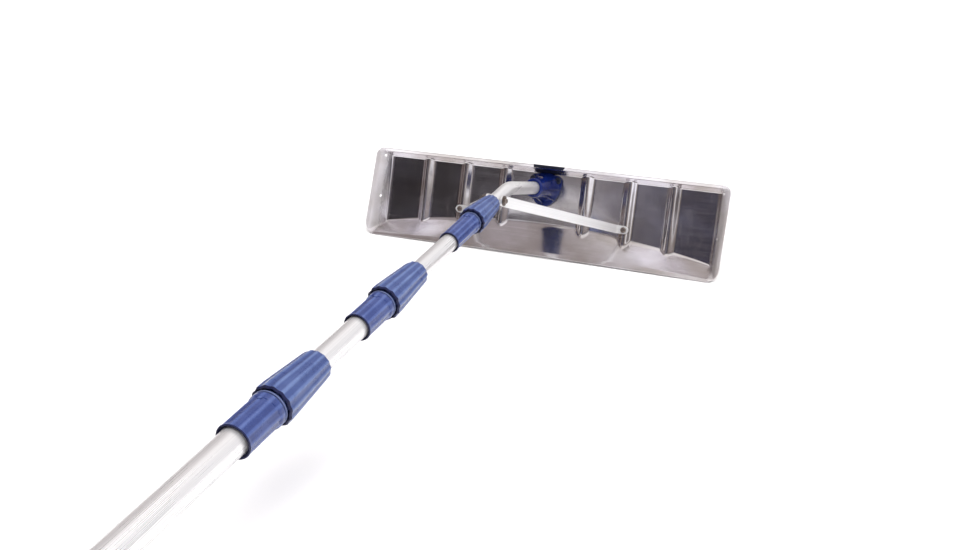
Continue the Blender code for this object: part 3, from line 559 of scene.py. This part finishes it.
def blade_columns():
    """Places along the blade, close together over the ribs and the side flanges."""
    right = []
    edges = [0.0]
    for place in [place for place in RIB_PLACES if place > 0]:
        edges += [place * RIB_PITCH - RIB_FOOT - 0.003, place * RIB_PITCH + RIB_FOOT + 0.003]
    edges += [PLATE_HALF_WIDTH - 0.004, BLADE_HALF_WIDTH]
    for k, (start, end) in enumerate(zip(edges, edges[1:])):
        fine = k % 2 == 1 or k == len(edges) - 2
        right += spaced(start, end, RIB_COLUMN_STEP if fine else FLAT_COLUMN_STEP)
    right.append(BLADE_HALF_WIDTH)
    return [-x for x in reversed(right[1:])] + right


def blade_rows(x):
    """Heights of one column's rows, from the upper rim to the scraping edge."""
    top = TOP_RUN - corner_loss(x, TOP_CORNER_RADIUS)
    low = lower_rim(x) + corner_loss(x, BOTTOM_CORNER_RADIUS)
    foot = min(arch_height(x), -0.03)
    start = foot + FOOT_BAND
    rows = [top + (TOP_BAND - top) * (k / 16) for k in range(16)]
    rows += [TOP_BAND + (start - TOP_BAND) * (k / 10) for k in range(10)]
    rows += [start + (low - start) * k / 34 for k in range(35)]
    return rows


def drill(piece, middle, direction, radius):
    """Cuts one round hole through the piece and keeps the cut in its mesh."""
    body = bmesh.new()
    bmesh.ops.create_cone(body, cap_ends=True, segments=32, radius1=radius, radius2=radius,
                          depth=2 * FLANGE_HOLE_REACH)
    mesh = bpy.data.meshes.new("drill_bit")
    body.to_mesh(mesh)
    body.free()
    bit = bpy.data.objects.new("drill_bit", mesh)
    scene.collection.objects.link(bit)
    bit.matrix_world = Matrix.Translation(middle) @ direction.to_track_quat("Z", "Y").to_matrix().to_4x4()
    cut = piece.modifiers.new("cut", "BOOLEAN")
    cut.operation = "DIFFERENCE"
    cut.solver = "EXACT"
    cut.object = bit
    bpy.context.view_layer.update()
    result = bpy.data.meshes.new_from_object(piece.evaluated_get(bpy.context.evaluated_depsgraph_get()))
    piece.modifiers.clear()
    piece.data = result
    bpy.data.objects.remove(bit)


def build_blade():
    """The pressed pan, thickened, with drilled holes and softened edges."""
    body = bmesh.new()
    grid = [[body.verts.new((x, -sheet_depth(x, z), z)) for z in blade_rows(x)] for x in blade_columns()]
    for left, right in zip(grid, grid[1:]):
        for k in range(len(left) - 1):
            body.faces.new((left[k], left[k + 1], right[k + 1], right[k]))
    mesh = bpy.data.meshes.new("pressed_blade")
    body.to_mesh(mesh)
    body.free()
    piece = bpy.data.objects.new("pressed_blade", mesh)
    scene.collection.objects.link(piece)
    piece.matrix_world = blade
    mesh.materials.append(MATERIALS["blade_sheet"])
    mesh.shade_smooth()
    solid = piece.modifiers.new("sheet", "SOLIDIFY")
    solid.thickness = SHEET
    solid.offset = -1.0
    solid.use_even_offset = True
    for side in (-1, 1):
        for z in FLANGE_HOLE_HEIGHTS:
            across = side * (PLATE_HALF_WIDTH + FLANGE_HOLE_INSET)
            middle = Vector((across, -rim_depth(z) * FLANGE_HOLE_SHARE, z))
            direction = Vector((side * 0.8, 0.6, 0))
            drill(piece, blade @ middle, blade.to_3x3() @ direction, FLANGE_HOLE_RADIUS)
    bevel(piece, 0.00075, 3, 60)
    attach(piece, "head")
    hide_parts("blade_pan")


# ---------------------------------------------------------------- socket

def build_socket():
    """Shield-shaped foot with a flared boss, a collar round the tube and radial gussets."""
    body = bmesh.new()
    right_side = [(0.0200, -0.0025), (0.0285, -0.0090), (0.0280, -0.0220),
                  (0.0200, -0.0430), (0.0130, -0.0520)]
    left_side = [(-x, z) for x, z in reversed(right_side)]
    corners = left_side[-1:] + right_side + [(0.0, -0.0570)] + left_side[:-1]
    outline = rounded([(x, z, 1.0) for x, z in corners], 0.006, 4)
    into_blade = socket.inverted() @ blade
    rings = []
    for y, inset in ((-GAP, 1.0), (-0.0038, 1.0), (-0.0050, 0.985), (-0.0053, 0.95)):
        ring = []
        for x, z in outline:
            ring.append(into_blade @ Vector((x * inset, y, -0.027 + (z + 0.027) * inset)))
        rings.append(ring)
    skin(body, rings)
    boss = [(0.004, 0.0262, 0), (0.0065, 0.0235, 1), (0.014, 0.0190, 1),
            (0.034, 0.0162, 1), (0.050, 0.0150, 0),
            (0.0508, 0.0158, 0.2), (SOCKET_LENGTH - 0.001, 0.0152, 0.3), (SOCKET_LENGTH, 0.0142, 0.2),
            (SOCKET_LENGTH, 0.01045, 0), (0.020, 0.01045, 0), (0.004, 0.012, 0)]
    turned = [(-place, radius) for place, radius in rounded(boss, 0.006, 4)]
    lathe(body, turned, 64)
    for step in range(len(GUSSET_REACHES)):
        angle = 2 * math.pi * step / len(GUSSET_REACHES)
        direction = Vector((math.cos(angle), math.sin(angle), 0))
        thick = Vector((-direction.y, direction.x, 0)) * 0.0011
        reach = GUSSET_REACHES[step]
        outline = ((0.011, 0.004), (reach, 0.004), (reach, 0.0062),
                   (0.0185, 0.030), (0.0162, 0.044), (0.011, 0.044))
        corners = [direction * out + Vector((0, 0, height)) for out, height in outline]
        skin(body, [[corner - thick for corner in corners], [corner + thick for corner in corners]])
    piece = place_piece("moulded_socket", body, "head", ["blade_socket"], "socket_navy", socket, 40)
    bevel(piece, 0.0006, 2, 50)


# ---------------------------------------------------------------- tubes

def head_path():
    """Centre line of the head tube with its direction, in the blade's frame."""
    bend = POLE_SLOPE - SOCKET_SLOPE
    tangent = HEAD_BEND_RADIUS * math.tan(bend / 2)
    start = bend_point + up_socket * tangent
    centre = start + Vector((0, math.sin(SOCKET_SLOPE), -math.cos(SOCKET_SLOPE))) * HEAD_BEND_RADIUS
    path = [(socket_root - up_socket * 0.0033, SOCKET_SLOPE),
            (socket_root - up_socket * 0.08, SOCKET_SLOPE)]
    for k in range(25):
        slope = SOCKET_SLOPE + bend * k / 24
        path.append((centre + Vector((0, -math.sin(slope), math.cos(slope))) * HEAD_BEND_RADIUS, slope))
    path += [(bend_point - up_pole * place, POLE_SLOPE) for place in (0.10, 0.6, TUBE_REARS[3])]
    return path


def build_head_tube():
    """The bent tube, skinned along its centre line as one closed wall."""
    into_pole = pole.inverted() @ blade
    body = bmesh.new()
    outside = []
    inside = []
    for spot, slope in head_path():
        up = Vector((0, -math.sin(slope), math.cos(slope)))
        for radius, store in ((TUBE_RADII[3], outside), (TUBE_RADII[3] - TUBE_WALL, inside)):
            ring = []
            for k in range(72):
                angle = 2 * math.pi * k / 72
                offset = ACROSS * radius * math.cos(angle) + up * radius * math.sin(angle)
                ring.append(into_pole @ (spot + offset))
            store.append(ring)
    skin(body, outside + inside[::-1], closed=True)
    place_piece("bent_head_tube", body, "head", ["head_tube"], "tube_aluminium", pole, 50)


def build_tube(k):
    """One straight tube with softened ends."""
    radius = TUBE_RADII[k]
    bore = radius - TUBE_WALL
    corners = [(TUBE_FRONTS[k], radius, 0.5), (TUBE_REARS[k], radius, 0.5), (TUBE_REARS[k], bore, 0.5),
               (TUBE_FRONTS[k], bore, 0.5)]
    body = bmesh.new()
    lathe(body, rounded(corners, 0.0006), TUBE_FACETS)
    place_piece(f"tube_{k + 1}", body, f"pole_{k + 1}", [f"pole_tube_{k + 1}"], "tube_aluminium", pole, 50)


# ---------------------------------------------------------------- twist locks

def hollow(count, angle, power=0.7):
    """From 0 on a ridge to 1 in the middle of the hollow between two of them."""
    return (0.5 - 0.5 * math.cos(count * angle)) ** power


def build_nut(k):
    """Fluted cone with a rounded nose, a full skirt, a thin edge and a stepped mouth."""
    nose, skirt, _ = LOCK_PLACES[k]
    small = NOSE_RADII[k] + FLUTE_DEPTH * 0.35
    wide = SKIRT_RADII[k] + FLUTE_DEPTH * 0.35
    neck = TUBE_RADII[k] + 0.00215
    bore = TUBE_RADII[k + 1] + 0.0008
    start = nose + 0.003
    band = skirt - (skirt - nose) * NUT_BAND_SHARE
    outer = [(nose, small - 0.0026), (nose + 0.0003, small - 0.0018), (nose + 0.0012, small - 0.0009),
             (nose + 0.0030, small - 0.0002)]
    for step in range(1, NUT_STEPS + 1):
        t = step / NUT_STEPS
        outer.append((start + (band - start) * t,
                      small + (wide - small) * ((1 + NUT_BULGE) * t - NUT_BULGE * t ** 4)))
    outer += [(skirt - 0.0060, wide + 0.0001), (skirt - 0.0026, wide), (skirt - 0.0024, wide - 0.0002),
              (skirt - 0.0010, wide - 0.0006), (skirt - 0.0003, wide - 0.0010), (skirt, wide - 0.0015)]
    inner = [(skirt, wide - 0.0012 - LIP), (skirt - 0.0010, wide - 0.0015 - LIP),
             (skirt - MOUTH_DEPTH, wide - 0.0026 - LIP), (skirt - MOUTH_DEPTH - 0.0002, neck + 0.0009),
             (skirt - 0.0150, neck + 0.0006), (nose + 0.030, bore + 0.0018), (nose + 0.012, bore + 0.0008),
             (nose + 0.012, bore), (nose, bore)]
    rings = []
    for row, (place, radius) in enumerate(outer + inner):
        if row < len(outer):
            share = smooth_step((place - nose) / 0.004) * 0.6 + 0.4
        else:
            share = 0.8 if place > skirt - 0.002 else 0.0
        ring = []
        for j in range(NUT_FLUTES * 10):
            angle = 2 * math.pi * j / (NUT_FLUTES * 10)
            reach = radius - FLUTE_DEPTH * hollow(NUT_FLUTES, angle) * share
            ring.append(Vector((reach * math.cos(angle), reach * math.sin(angle), -place)))
        rings.append(ring)
    body = bmesh.new()
    skin(body, rings, closed=True)
    piece = place_piece(f"twist_nut_{k + 1}", body, f"nut_{k + 1}", [f"lock_nut_{k + 1}"],
                        "lock_blue", pole, 38)
    # The rear face and the mouth get painted shade.
    paint_inner_shade(piece, lambda place, reach: place > skirt - 0.0025 or (
        place > skirt - 0.016 and reach < wide - 0.0020 - LIP))


def build_base(k):
    """Fixed base: threaded neck, rolled rim, flat-panelled barrel and a hollowed rear end."""
    _, skirt, rear = LOCK_PLACES[k]
    bore = TUBE_RADII[k] + RUNNING_GAP
    neck = bore + 0.0018
    base = BASE_RADII[k]
    front = skirt - 0.020
    shoulder = skirt + 0.004
    profile = [(front, bore, 0), (front, neck - 0.0004, 0.1)]
    for turn in range(THREAD_TURNS):
        crest = front + 0.003 + turn * THREAD_PITCH
        profile += [(crest, neck - 0.0004, 0), (crest + 0.00125, neck, 0),
                    (crest + 0.0025, neck - 0.0004, 0)]
    profile += [(shoulder, neck - 0.0004, 0.05), (shoulder, base - 0.0002, 0.1),
                (shoulder + 0.0012, base + 0.0008, 0.2), (shoulder + 0.0068, base + 0.0008, 0.2),
                (shoulder + 0.0085, base, 0.2), (shoulder + 0.0100, base, 0),
                (rear - 0.0060, base, 0), (rear - 0.0040, base, 0), (rear - 0.0018, base, 0),
                (rear - 0.0016, base - 0.0002, 0), (rear, base - 0.0006, 0.1),
                 (rear, base - 0.0006 - LIP, 0.1),
                (rear - MOUTH_DEPTH, base - 0.0018 - LIP, 0.1), (rear - MOUTH_DEPTH - 0.0002, bore, 0)]

    def panels(angle, place, radius):
        on_barrel = shoulder + 0.0090 <= place <= rear - 0.0030 and radius >= base - 0.0005
        return -PANEL_DEPTH * hollow(BASE_FLUTES, angle, 0.6) if on_barrel else 0.0

    body = bmesh.new()
    lathe(body, rounded(profile, 0.006, 3), BASE_FLUTES * 10, panels)
    half = math.radians(TAB_HALF_ANGLE)
    for middle in (math.radians(90), math.radians(270)):
        section = ((middle - half, base - 0.001), (middle - half, base + 0.0006), (middle, base + 0.0007),
                   (middle + half, base + 0.0006), (middle + half, base - 0.001))
        skin(body, [[Vector((radius * math.cos(angle), radius * math.sin(angle), -place))
                     for angle, radius in section] for place in (shoulder + 0.0088, shoulder + 0.0125)])
    name = f"lock_base_shell_{k + 1}"
    piece = place_piece(name, body, f"pole_{k + 1}", [f"lock_base_{k + 1}"], "lock_blue", pole, 38)
    piece.data.materials[0] = MATERIALS["base_blue"]
    # The rear end and the mouth get painted shade.
    paint_inner_shade(piece, lambda place, reach: place > rear - 0.0016 or (
        place > rear - MOUTH_DEPTH - 0.001 and reach < base - 0.0010 - LIP))


def build_ring(k):
    """Thin light ring between a nut and its base."""
    _, skirt, _ = LOCK_PLACES[k]
    inner = TUBE_RADII[k] + 0.0025
    outer = BASE_RADII[k] + 0.0007
    profile = rounded([(skirt + 0.001, outer, 1), (skirt + 0.003, outer, 1), (skirt + 0.003, inner, 0.3),
                       (skirt + 0.001, inner, 0.3)], 0.0009, 4)
    body = bmesh.new()
    lathe(body, profile, TUBE_FACETS)
    place_piece(f"thrust_ring_{k + 1}", body, f"pole_{k + 1}", [f"lock_ring_{k + 1}"],
                "ring_plastic", pole, 50)


# ---------------------------------------------------------------- braces and fixings

brace_x = BRACE_RIB * RIB_PITCH
strap_x = TUBE_RADII[3] + GAP + BRACE_THICKNESS / 2
crest_y = -RIB_HEIGHT - CREST_GAP - BRACE_THICKNESS / 2
tube_bolt = bend_point - up_pole * BRACE_BOLT_PLACE
blade_bolt = Vector((brace_x, crest_y, BRACE_BOLT_HEIGHT))
strap_tilt = math.atan2(tube_bolt.z - blade_bolt.z, blade_bolt.y - tube_bolt.y)
strap_ahead = Vector((0, math.cos(strap_tilt), -math.sin(strap_tilt)))
strap_across = Vector((0, math.sin(strap_tilt), math.cos(strap_tilt)))


def strap_stations():
    """Middle line of a strap with its half width at each station, folds turned on short arcs."""
    half = BRACE_WIDTH / 2
    start = tube_bolt.dot(strap_ahead)
    end = blade_bolt.dot(strap_ahead)
    corners = [Vector((strap_x, start - half)), Vector((strap_x, start + half * 1.2)),
               Vector((brace_x - half * 1.35, end)), Vector((brace_x + half, end))]
    stations = []
    for k in range(ROUND_STEPS):
        turn = (k + 0.4) * math.pi / 2 / ROUND_STEPS
        stations.append((corners[0] + Vector((0, half * (1 - math.cos(turn)))), half * math.sin(turn)))
    stations.append((corners[0] + Vector((0, half)), half))
    for before, corner, after in zip(corners, corners[1:], corners[2:]):
        arrive = (corner - before).normalized()
        leave = (after - corner).normalized()
        first = corner - arrive * 0.003
        last = corner + leave * 0.003
        for k in range(7):
            t = k / 6
            stations.append((first * (1 - t) ** 2 + corner * 2 * t * (1 - t) + last * t ** 2, half))
    stations.append((corners[3] - Vector((half, 0)), half))
    for k in reversed(range(ROUND_STEPS)):
        turn = (k + 0.4) * math.pi / 2 / ROUND_STEPS
        stations.append((corners[3] - Vector((half * (1 - math.cos(turn)), 0)), half * math.sin(turn)))
    return stations


def build_brace(name, node, side):
    """One strap of flat bar; its own frame has Z along the strap's width, so its grain runs lengthwise."""
    strap_frame = blade @ axes(Vector(), ACROSS, strap_across)
    height = tube_bolt.dot(strap_across)
    body = bmesh.new()
    rows = []
    for middle, half in strap_stations():
        ahead = Vector((middle.x * side, middle.y, 0))
        share = min(max((middle.x - strap_x) / (brace_x - strap_x), 0.0), 1.0)
        reach = half * (1 - BRACE_TAPER / BRACE_WIDTH * 2 * share)
        rows.append([body.verts.new(ahead + Vector((0, 0, height + reach * k / 4))) for k in range(-4, 5)])
    for first, second in zip(rows, rows[1:]):
        for k in range(8):
            body.faces.new((first[k], first[k + 1], second[k + 1], second[k]))
    piece = place_piece(name, body, "head", [node], "brace_aluminium", strap_frame, 0)
    solid = piece.modifiers.new("strap", "SOLIDIFY")
    solid.thickness = BRACE_THICKNESS
    solid.offset = 0.0
    solid.use_even_offset = True
    bevel(piece, 0.0005, 3, 50)


def build_bolt_head(name, node, matrix, top, radius, height, length, slot="zinc_steel", hexed=False):
    """A fixing along Z: domed or hexagonal head with a socket in it, and its shank."""
    body = bmesh.new()
    facets = 48
    rings = []
    recess = radius * 0.42

    def hexagon(angle, reach):
        local = (angle + math.pi / 6) % (math.pi / 3) - math.pi / 6
        return reach * math.cos(math.pi / 6) / math.cos(local)

    profile = [(top + 0.0014, 0.0002, False), (top + 0.0014, recess, True), (top + 0.0001, recess, True),
               (top, recess + 0.0005, False), (top + height * 0.12, radius * 0.80, False),
               (top + height * 0.35, radius * 0.95, hexed), (top + height * 0.55, radius, hexed),
               (top + height, radius, hexed), (top + height, 0.003, False),
                (top + height + length, 0.003, False)]
    for place, reach, six in profile:
        ring = []
        for k in range(facets):
            angle = 2 * math.pi * k / facets
            wide = hexagon(angle, reach) if six else reach
            ring.append(Vector((wide * math.cos(angle), wide * math.sin(angle), place)))
        rings.append(ring)
    skin(body, rings)
    place_piece(name, body, "head", [node], slot, matrix, 35)


def build_fixings():
    """Heads and shanks of the cross bolt, the brace bolts and the socket bolts."""
    across = (pole @ Matrix.Translation((0, 0, -BRACE_BOLT_PLACE))
              @ axes(Vector(), Vector((0, 0, 1)), -ACROSS))
    bolt_low, bolt_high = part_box("cross_bolt")
    build_bolt_head("cross_bolt_head", "cross_bolt", across, -bolt_high.x, 0.0040, 0.004,
                    bolt_high.x - bolt_low.x - 0.004, hexed=True)
    through = axes(Vector(), ACROSS, Vector((0, 1, 0)))
    for label, side in (("left", -1), ("right", 1)):
        spot = blade @ Matrix.Translation((side * brace_x, 0, BRACE_BOLT_HEIGHT)) @ through
        top = crest_y - BRACE_THICKNESS / 2 - 0.0009 - 0.0028
        build_bolt_head(f"brace_bolt_head_{label}", f"brace_bolt_{label}", spot, top, 0.0044, 0.0028, 0.020)
        spot = blade @ Matrix.Translation((side * SOCKET_BOLT_SPOT[0], 0, SOCKET_BOLT_SPOT[1])) @ through
        build_bolt_head(f"socket_bolt_head_{label}", f"socket_bolt_{label}", spot, -SOCKET_FLANGE - 0.0034,
                        0.0054, 0.0028, 0.0150, "black_steel")


def build_rim_clip():
    """The black strip folded over the rim, which runs down the flange to the socket."""
    rim = -TOP_DEPTH - LIP_LEAN * LIP_WIDTH - 0.0012
    line = ((-0.0195, 0.0072), (-0.0195, 0.0110), (rim, 0.0110), (rim + 0.0006, 0.0078), (-0.0050, -0.0004),
            (-0.0022, -0.0006))
    body = bmesh.new()
    rows = []
    for step, (y, z) in enumerate(line):
        share = (y - rim) / (line[-1][0] - rim) if step > 2 else 0.0
        left = -0.0165 - 0.0035 * share
        right = 0.0360 - 0.0170 * share
        rows.append([body.verts.new((left + (right - left) * k / 6, y, z)) for k in range(7)])
    for first, second in zip(rows, rows[1:]):
        for k in range(6):
            body.faces.new((first[k], first[k + 1], second[k + 1], second[k]))
    piece = place_piece("rim_strip", body, "head", ["rim_clip"], "black_plastic", blade, 30)
    # The strip's finish is black plastic darkened by painted shade.
    piece.data.materials[0] = MATERIALS["strip_black_and_painted_shade"]
    solid = piece.modifiers.new("strip", "SOLIDIFY")
    solid.thickness = 0.0009
    solid.offset = 0.0
    bevel(piece, 0.0003, 2)


# ---------------------------------------------------------------- user's end

def build_user_end():
    """Foam sleeve with rolled ends and a ribbed cap."""
    start, end = GRIP_SPAN
    bore = TUBE_RADII[0] + RUNNING_GAP
    profile = [(start, bore, 0), (start, GRIP_RADIUS - 0.0004, 1)]
    for k in range(1, 20):
        place = start + (end - start) * k / 20
        profile.append((place, GRIP_RADIUS - 0.00015 * (k % 2), 0))
    profile += [(end, GRIP_RADIUS - 0.0004, 1), (end, bore, 0)]
    body = bmesh.new()
    lathe(body, rounded(profile, 0.0025, 5), TUBE_FACETS)
    place_piece("foam_sleeve", body, "pole_1", ["hand_grip"], "grip_foam", pole, 40)
    rear = TUBE_REARS[0]
    profile = [(rear - 0.014, bore, 0), (rear - 0.014, CAP_RADIUS - 0.0003, 0.4),
               (rear + 0.004, CAP_RADIUS, 1),
               (rear + 0.004, 0.010, 0), (rear + 0.0032, 0.0095, 0), (rear + 0.0032, 0.0005, 0),
               (rear - 0.030, 0.0005, 0), (rear - 0.030, 0.0144, 0.3), (rear + 0.0003, 0.0144, 0),
               (rear + 0.0003, bore, 0)]
    body = bmesh.new()
    lathe(body, rounded(profile, 0.0022, 5), TUBE_FACETS,
          lambda angle, place, radius: -0.0002 * hollow(32, angle))
    place_piece("ribbed_cap", body, "pole_1", ["end_cap"], "black_plastic", pole, 40)


def finish_frame_nodes():
    """Inner nodes keep their shapes and take the finish of their slot."""
    slots = {part["node"]: part["material_slot"] for part in frame["record"]["subparts"]}
    for name, node in frame["nodes"].items():
        node.data.materials.clear()
        node.data.materials.append(MATERIALS[slots[name]])


# ---------------------------------------------------------------- setting

def build_floor():
    """Large pale floor."""
    body = bmesh.new()
    bmesh.ops.create_grid(body, x_segments=1, y_segments=1, size=40.0)
    mesh = bpy.data.meshes.new("floor")
    body.to_mesh(mesh)
    body.free()
    floor = bpy.data.objects.new("floor", mesh)
    scene.collection.objects.link(floor)
    nodes = Nodes("pale_floor")
    nodes.set(Roughness=0.9, Specular_IOR_Level=0.1)
    cloud = nodes.noise((0.5, 0.5, 0.5), 2.0, 0.5)
    nodes.colour(nodes.ramp(cloud, (0.965, 0.965, 0.965), (0.975, 0.975, 0.975)))
    mesh.materials.append(nodes.material)


def place_light(name, data, place, direction):
    """Puts a light in the scene, seen neither by the camera nor in reflections."""
    light = bpy.data.objects.new(name, data)
    scene.collection.objects.link(light)
    light.location = place
    light.rotation_euler = direction.to_track_quat("-Z", "Y").to_euler()
    light.visible_camera = False
    light.visible_glossy = False


def add_light(name, place, target, size, power):
    """A soft square light that looks at a point."""
    data = bpy.data.lights.new(name, "AREA")
    data.shape = "SQUARE"
    data.size = size
    data.energy = power
    place_light(name, data, place, target - place)


def add_sun(name, direction, strength, spread):
    """Even light from a wide patch of ceiling, the same over the whole floor."""
    data = bpy.data.lights.new(name, "SUN")
    data.energy = strength
    data.angle = math.radians(spread)
    place_light(name, data, blade_middle - 3 * direction, direction)


def ramp_of(tree, value, low, high, stops):
    """A colour ramp over the range low to high of a value; stops are (value, colour)."""
    scale = tree.nodes.new("ShaderNodeMapRange")
    scale.inputs["From Min"].default_value = low
    scale.inputs["From Max"].default_value = high
    tree.links.new(value, scale.inputs["Value"])
    ramp = tree.nodes.new("ShaderNodeValToRGB")
    elements = ramp.color_ramp.elements
    while len(elements) > 1:
        elements.remove(elements[0])
    for k, (place, colour) in enumerate(stops):
        element = elements[0] if k == 0 else elements.new((place - low) / (high - low))
        element.position = (place - low) / (high - low)
        element.color = (*colour, 1)
    tree.links.new(scale.outputs["Result"], ramp.inputs["Fac"])
    return ramp.outputs["Color"]


def mixed(tree, factor, first, second):
    """Mixes two colours, each a socket or a plain value."""
    mix = tree.nodes.new("ShaderNodeMix")
    mix.data_type = "RGBA"
    tree.links.new(factor, mix.inputs[0])
    for index, value in ((6, first), (7, second)):
        if isinstance(value, bpy.types.NodeSocket):
            tree.links.new(value, mix.inputs[index])
        else:
            mix.inputs[index].default_value = (*value, 1)
    return mix.outputs[2]


def build_world():
    """A studio round the object: grey overhead, dim ahead with a soft pale panel, pale elsewhere."""
    world = bpy.data.worlds.new("studio")
    scene.world = world
    world.use_nodes = True
    tree = world.node_tree
    tree.nodes.clear()
    split = tree.nodes.new("ShaderNodeSeparateXYZ")
    tree.links.new(tree.nodes.new("ShaderNodeTexCoord").outputs["Generated"], split.inputs["Vector"])
    x, y, z = split.outputs
    front = ramp_of(tree, x, -1, 1, (
        (-1.0, (0.32, 0.26, 0.24)), (-0.80, (0.17, 0.13, 0.125)), (-0.62, (0.020, 0.017, 0.018)),
        (-0.37, (0.030, 0.026, 0.032)), (-0.335, (0.055, 0.050, 0.056)), (-0.315, (0.62, 0.58, 0.59)),
        (-0.285, (0.60, 0.56, 0.58)), (-0.26, (0.060, 0.056, 0.088)), (-0.18, (0.060, 0.056, 0.090)),
        (0.10, (0.10, 0.10, 0.11)), (0.5, (0.24, 0.21, 0.205)), (0.9, (0.36, 0.31, 0.30)),
        (0.93, (0.9, 0.9, 0.92)), (1.0, (1.6, 1.6, 1.66))))
    ceiling = ramp_of(tree, x, -1, 1, (
        (-1.0, (0.36, 0.32, 0.32)), (-0.40, (0.38, 0.335, 0.335)), (-0.28, (0.44, 0.39, 0.385)),
        (-0.22, (0.66, 0.62, 0.62)), (-0.17, (1.10, 1.06, 1.05)), (0.4, (0.92, 0.90, 0.90))))
    above = ramp_of(tree, z, 0, 1, ((0.45, (0, 0, 0)), (0.75, (1, 1, 1))))
    behind = ramp_of(tree, y, -1, 1, ((-0.25, (0, 0, 0)), (0.25, (1, 1, 1))))
    backdrop = ramp_of(tree, x, -1, 1, (
        (-0.8, (0.26, 0.22, 0.22)), (-0.35, (0.36, 0.33, 0.33)), (0.1, (0.70, 0.69, 0.69)),
        (1.0, (0.66, 0.66, 0.70))))
    around = mixed(tree, behind, front, backdrop)
    around = mixed(tree, above, around, ceiling)
    seen = tree.nodes.new("ShaderNodeLightPath").outputs["Is Camera Ray"]
    shine = tree.nodes.new("ShaderNodeBackground")
    tree.links.new(mixed(tree, seen, around, (1.0, 1.0, 1.0)), shine.inputs["Color"])
    tree.links.new(shine.outputs["Background"], tree.nodes.new("ShaderNodeOutputWorld").inputs["Surface"])


def build_camera():
    """Camera at the pictured viewing angle."""
    data = bpy.data.cameras.new("camera")
    data.lens = CAMERA_LENS
    data.sensor_width = 36.0
    data.clip_end = 200.0
    camera = bpy.data.objects.new("camera", data)
    scene.collection.objects.link(camera)
    turn = Matrix.Rotation(math.radians(CAMERA_AZIMUTH), 4, "Z") @ Matrix.Rotation(
        math.radians(90 + CAMERA_TILT), 4, "X") @ Matrix.Rotation(math.radians(CAMERA_ROLL), 4, "Z")
    camera.matrix_world = Matrix.Translation(CAMERA_PLACE) @ turn
    scene.camera = camera


finish_frame_nodes()
build_blade()
build_socket()
build_head_tube()
for number in range(3):
    build_tube(number)
    build_nut(number)
    build_base(number)
    build_ring(number)
build_brace("brace_bar_right", "brace_right", 1)
build_brace("brace_bar_left", "brace_left", -1)
build_fixings()
build_rim_clip()
build_user_end()
build_floor()
build_world()
build_camera()
blade_middle = blade.translation
add_sun("overhead", Vector((-0.09, 0.18, -0.98)), 2.3, 62)
add_light("right_key", blade_middle + Vector((2.6, -2.4, 2.4)), blade_middle, 1.6, 26)

scene.view_settings.view_transform = "Standard"
